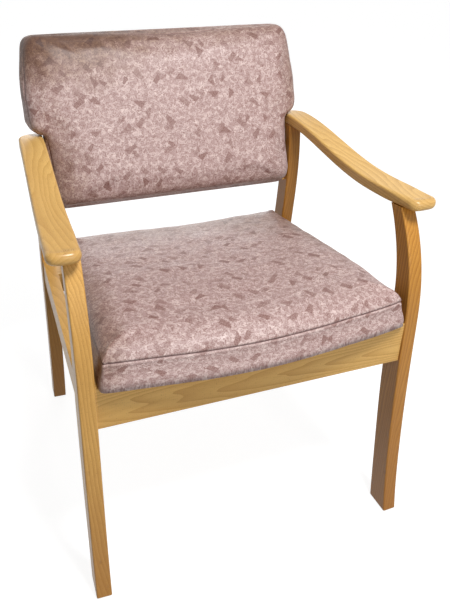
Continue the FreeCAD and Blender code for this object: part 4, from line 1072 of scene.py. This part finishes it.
def seated(place, shoulder):
    """Keeps the pad between the armrests under its shoulders, and flat on top of them: the height
    h over them becomes h^2 / depth up to that depth."""
    arms_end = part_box("left_armrest")[1][1] + 0.0015
    level, depth = shoulder - 0.0008, 0.013
    by_arm = (np.abs(place[:, 0]) > BETWEEN_ARMS) & (place[:, 1] < arms_end)
    beneath = by_arm & (place[:, 2] < level)
    place[beneath, 0] = BETWEEN_ARMS * np.sign(place[beneath, 0])
    lying = by_arm & (place[:, 2] >= level) & (place[:, 2] < level + depth)
    place[lying, 2] = level + (place[lying, 2] - level) ** 2 / depth


class ARMCHAIR_OT_back_pad(bpy.types.Operator):
    """Makes the crowned back pad that stands between the posts and over the armrests"""
    bl_idname = "armchair.back_pad"
    bl_label = "Back pad"

    def execute(self, context):
        size = settings("back_pad")
        axes = tilted(size.rake)
        block = node_points("back_cushion") @ axes.T
        low, high = block.min(axis=0), block.max(axis=0)
        front_y, rear_y, foot, head = low[1], high[1], low[2], high[2] + 0.006
        outline = girth("back_cushion", axes, 1, rear_y - 0.030)
        middle, reach = spans(outline)
        front_loop, rear_loop = softened(outline, 0.019), softened(outline, 0.006)
        grid = back_rings(size, (front_loop, rear_loop), middle, reach, low, high)
        let_down(grid, size, axes, foot)
        form = shell("back_pad_form", grid @ axes)

        on_board = rear_y - HELD_BEHIND
        pad = held_cloth(form, "back_pad", size, lambda points: (points @ axes.T)[:, 1] > on_board)
        seam = front_y + size.seam_depth
        scored(pad, axes[1], seam)
        own = mesh_points(pad.data) @ axes.T
        fitted(own, 0, low[0] - 0.001, high[0] + 0.001)
        fitted(own, 2, foot - 0.003, head)
        widen(own, size, foot, head)
        behind = own[:, 1] - seam
        distance, out = beside(own[:, ::2], front_loop + (rear_loop - front_loop) * 0.3)
        on_border = ease(distance, -0.020, -0.012)
        own[:, ::2] -= out * (groove(behind, 0.0016, 0.0005) * on_border)[:, None]
        x, up = ((own[:, ::2] - middle) / reach).T
        settle_front(own, x, up, front_y, rear_y)
        drop = 0.8 * np.clip(own[:, 1] - front_y - 0.004, 0, None) * ease(distance, -0.030, -0.019)

        # The rear has room for the board and for the panel that closes it.
        panel = girth("back_outer_panel", axes, 1, rear_y - 0.002)
        own[:, 1] = np.minimum(own[:, 1], rear_y - 0.0004)
        make_room(own, (0, 2), 1, own[:, 1] > rear_y - TURNED_IN, panel, rear_y - BEFORE_BOARD)
        away = np.where(on_border > 0.3, behind, NO_SEAM)
        spread_out(pad, away, own[:, ::2] + out * drop[:, None])
        place = own @ axes
        seated(place, size.shoulder)
        move_points(pad, place)
        put_on(pad, cover("back_vinyl", BACK_SOIL_AND_SHADE, 0.2), "back_cushion")
        return {"FINISHED"}


class ARMCHAIR_OT_rear_panel(bpy.types.Operator):
    """Makes the covered panel that closes the rear of the back"""
    bl_idname = "armchair.rear_panel"
    bl_label = "Rear panel"

    def execute(self, context):
        size = settings("back_pad")
        axes = tilted(size.rake)
        rear_y = (node_points("back_cushion") @ axes.T)[:, 1].max()
        outline = girth("back_outer_panel", axes, 1, rear_y - 0.002)
        middle, reach = spans(outline)

        # Profile in (distance in from the outline, depth ahead of the rear): a flat front face, a
        # short wall, the cover's round edge, and a rear face crowned by (1 - x^4)(1 - up^4).
        thick, edge = 0.0049, 0.0020
        profile = np.concatenate([[(0.0, thick)], arc((edge, edge), (edge, edge), 180, 270, 7)])
        inside = inward(outline)
        rings = disc(outline, middle, (0.04, 0.99, 12), 1, rear_y - thick)
        rings += [ring(outline + inside * d, 1, rear_y - ahead) for d, ahead in profile]
        brim = outline + inside * profile[-1, 0]
        rings += disc(brim, middle, (0.98, 0.04, 20), 1, rear_y)
        grid = np.array(rings)
        x, up = spread(grid, (0, 2), middle, reach)
        at_rear = ease(rear_y - grid[:, :, 1], edge, 0)
        grid[:, :, 1] += size.panel_crown * (1 - x ** 4) * (1 - up ** 4) * at_rear
        panel = shell("rear_panel", grid @ axes)
        own = mesh_points(panel.data) @ axes.T
        spread_out(panel, np.full(len(own), NO_SEAM), own[:, ::2])
        put_on(panel, cover("panel_vinyl", (), 0.15), "back_outer_panel")
        return {"FINISHED"}


# ---- Studio ----
# Each lamp's name, place and width; they all point at one place.
LAMPS = (
    ("key", (0.22, -1.05, 2.45), 0.55),
    ("fill", (0.5, -2.4, 1.1), 1.0),
    ("rear", (0.6, 2.6, 0.8), 1.4),
)
LAMP_AIM = (0.0, 0.0, 0.45)
CAMERA_PLACE = (-0.42403, -1.13455, 1.15071)
# The camera's turn from +Y to the right, its fall under the level and its roll, in degrees.
CAMERA_TURNS = (22.36, 29.57, 2.34)
CAMERA_LENS, CAMERA_SHIFT = 42.393, -0.0825
FLOOR_REACH = 14.0


def camera_axes():
    """The camera's right, up and rearward directions, one row each."""
    yaw, pitch, roll = (math.radians(angle) for angle in CAMERA_TURNS)
    level = math.cos(pitch)
    forward = np.array([math.sin(yaw) * level, math.cos(yaw) * level, -math.sin(pitch)])
    right = np.array([math.cos(yaw), -math.sin(yaw), 0.0])
    up = np.cross(right, forward)
    turned = (right * math.cos(roll) + up * math.sin(roll), up * math.cos(roll) - right * math.sin(roll))
    return np.array([*turned, -forward])


class ARMCHAIR_OT_studio(bpy.types.Operator):
    """Sets up the floor, the lamps, the surroundings and the camera"""
    bl_idname = "armchair.studio"
    bl_label = "Studio"

    def execute(self, context):
        size = settings("studio")
        scene = context.scene
        corners = [(-1, -1, 0), (1, -1, 0), (1, 1, 0), (-1, 1, 0)]
        floor = new_piece("floor", np.array(corners) * FLOOR_REACH, [np.arange(4)])
        white = (1.0, 1.0, 1.0, 1.0)
        material, tree, shader, _ = new_material("pale_floor", roughness=0.9, Emission_Color=white)
        shader["Base Color"].default_value = size.floor
        feed(tree, shader, Emission_Strength=calc(tree, "MULTIPLY", looked_at(tree), size.whiteness))
        floor.data.materials.append(material)

        world = bpy.data.worlds.new("surround")
        scene.world = world
        world.use_nodes = True
        tree = world.node_tree
        background = tree.nodes["Background"]
        strength = calc(tree, "MULTIPLY_ADD", looked_at(tree), 1.0 - size.surround, size.surround)
        background.inputs["Color"].default_value = white
        feed(tree, background.inputs, Strength=strength)

        for name, place, width in LAMPS:
            lamp = bpy.data.lights.new(name, "AREA")
            lamp.size = width
            lamp.energy = getattr(size, f"{name}_power")
            holder = linked(name, lamp)
            holder.location = place
            holder.rotation_euler = (Vector(place) - Vector(LAMP_AIM)).to_track_quat("Z", "Y").to_euler()

        camera = bpy.data.cameras.new("camera")
        camera.lens = CAMERA_LENS
        camera.sensor_width = 36.0
        camera.shift_y = CAMERA_SHIFT
        pose = np.eye(4)
        pose[:3, :3] = camera_axes().T
        pose[:3, 3] = CAMERA_PLACE
        scene.camera = linked("camera", camera)
        scene.camera.matrix_world = Matrix(pose.tolist())
        scene.view_settings.view_transform = "Standard"
        return {"FINISHED"}


class ARMCHAIR_PT_panel(bpy.types.Panel):
    """Lists the armchair's pieces"""
    bl_label = "Armchair"
    bl_idname = "ARMCHAIR_PT_panel"
    bl_space_type = "VIEW_3D"
    bl_region_type = "UI"
    bl_category = "Armchair"

    def draw(self, context):
        for operator in OPERATORS:
            self.layout.operator(operator.bl_idname)
        for name in SETTINGS:
            box = self.layout.box()
            group = settings(name)
            for key in group.__annotations__:
                box.prop(group, key)


OPERATORS = [
    ARMCHAIR_OT_beech_frame,
    ARMCHAIR_OT_boards,
    ARMCHAIR_OT_hardware,
    ARMCHAIR_OT_seat_pad,
    ARMCHAIR_OT_back_pad,
    ARMCHAIR_OT_rear_panel,
    ARMCHAIR_OT_studio,
]


def register():
    for item in (*SETTINGS.values(), *OPERATORS, ARMCHAIR_PT_panel):
        bpy.utils.register_class(item)
    for name, group in SETTINGS.items():
        setattr(bpy.types.Scene, f"armchair_{name}", bpy.props.PointerProperty(type=group))


def unregister():
    for name in SETTINGS:
        delattr(bpy.types.Scene, f"armchair_{name}")
    for item in (ARMCHAIR_PT_panel, *reversed(OPERATORS), *reversed(SETTINGS.values())):
        bpy.utils.unregister_class(item)


def main():
    """Makes every piece in turn."""
    register()
    for operator in OPERATORS:
        group, name = operator.bl_idname.split(".")
        getattr(getattr(bpy.ops, group), name)()


if __name__ == "__main__":
    main()
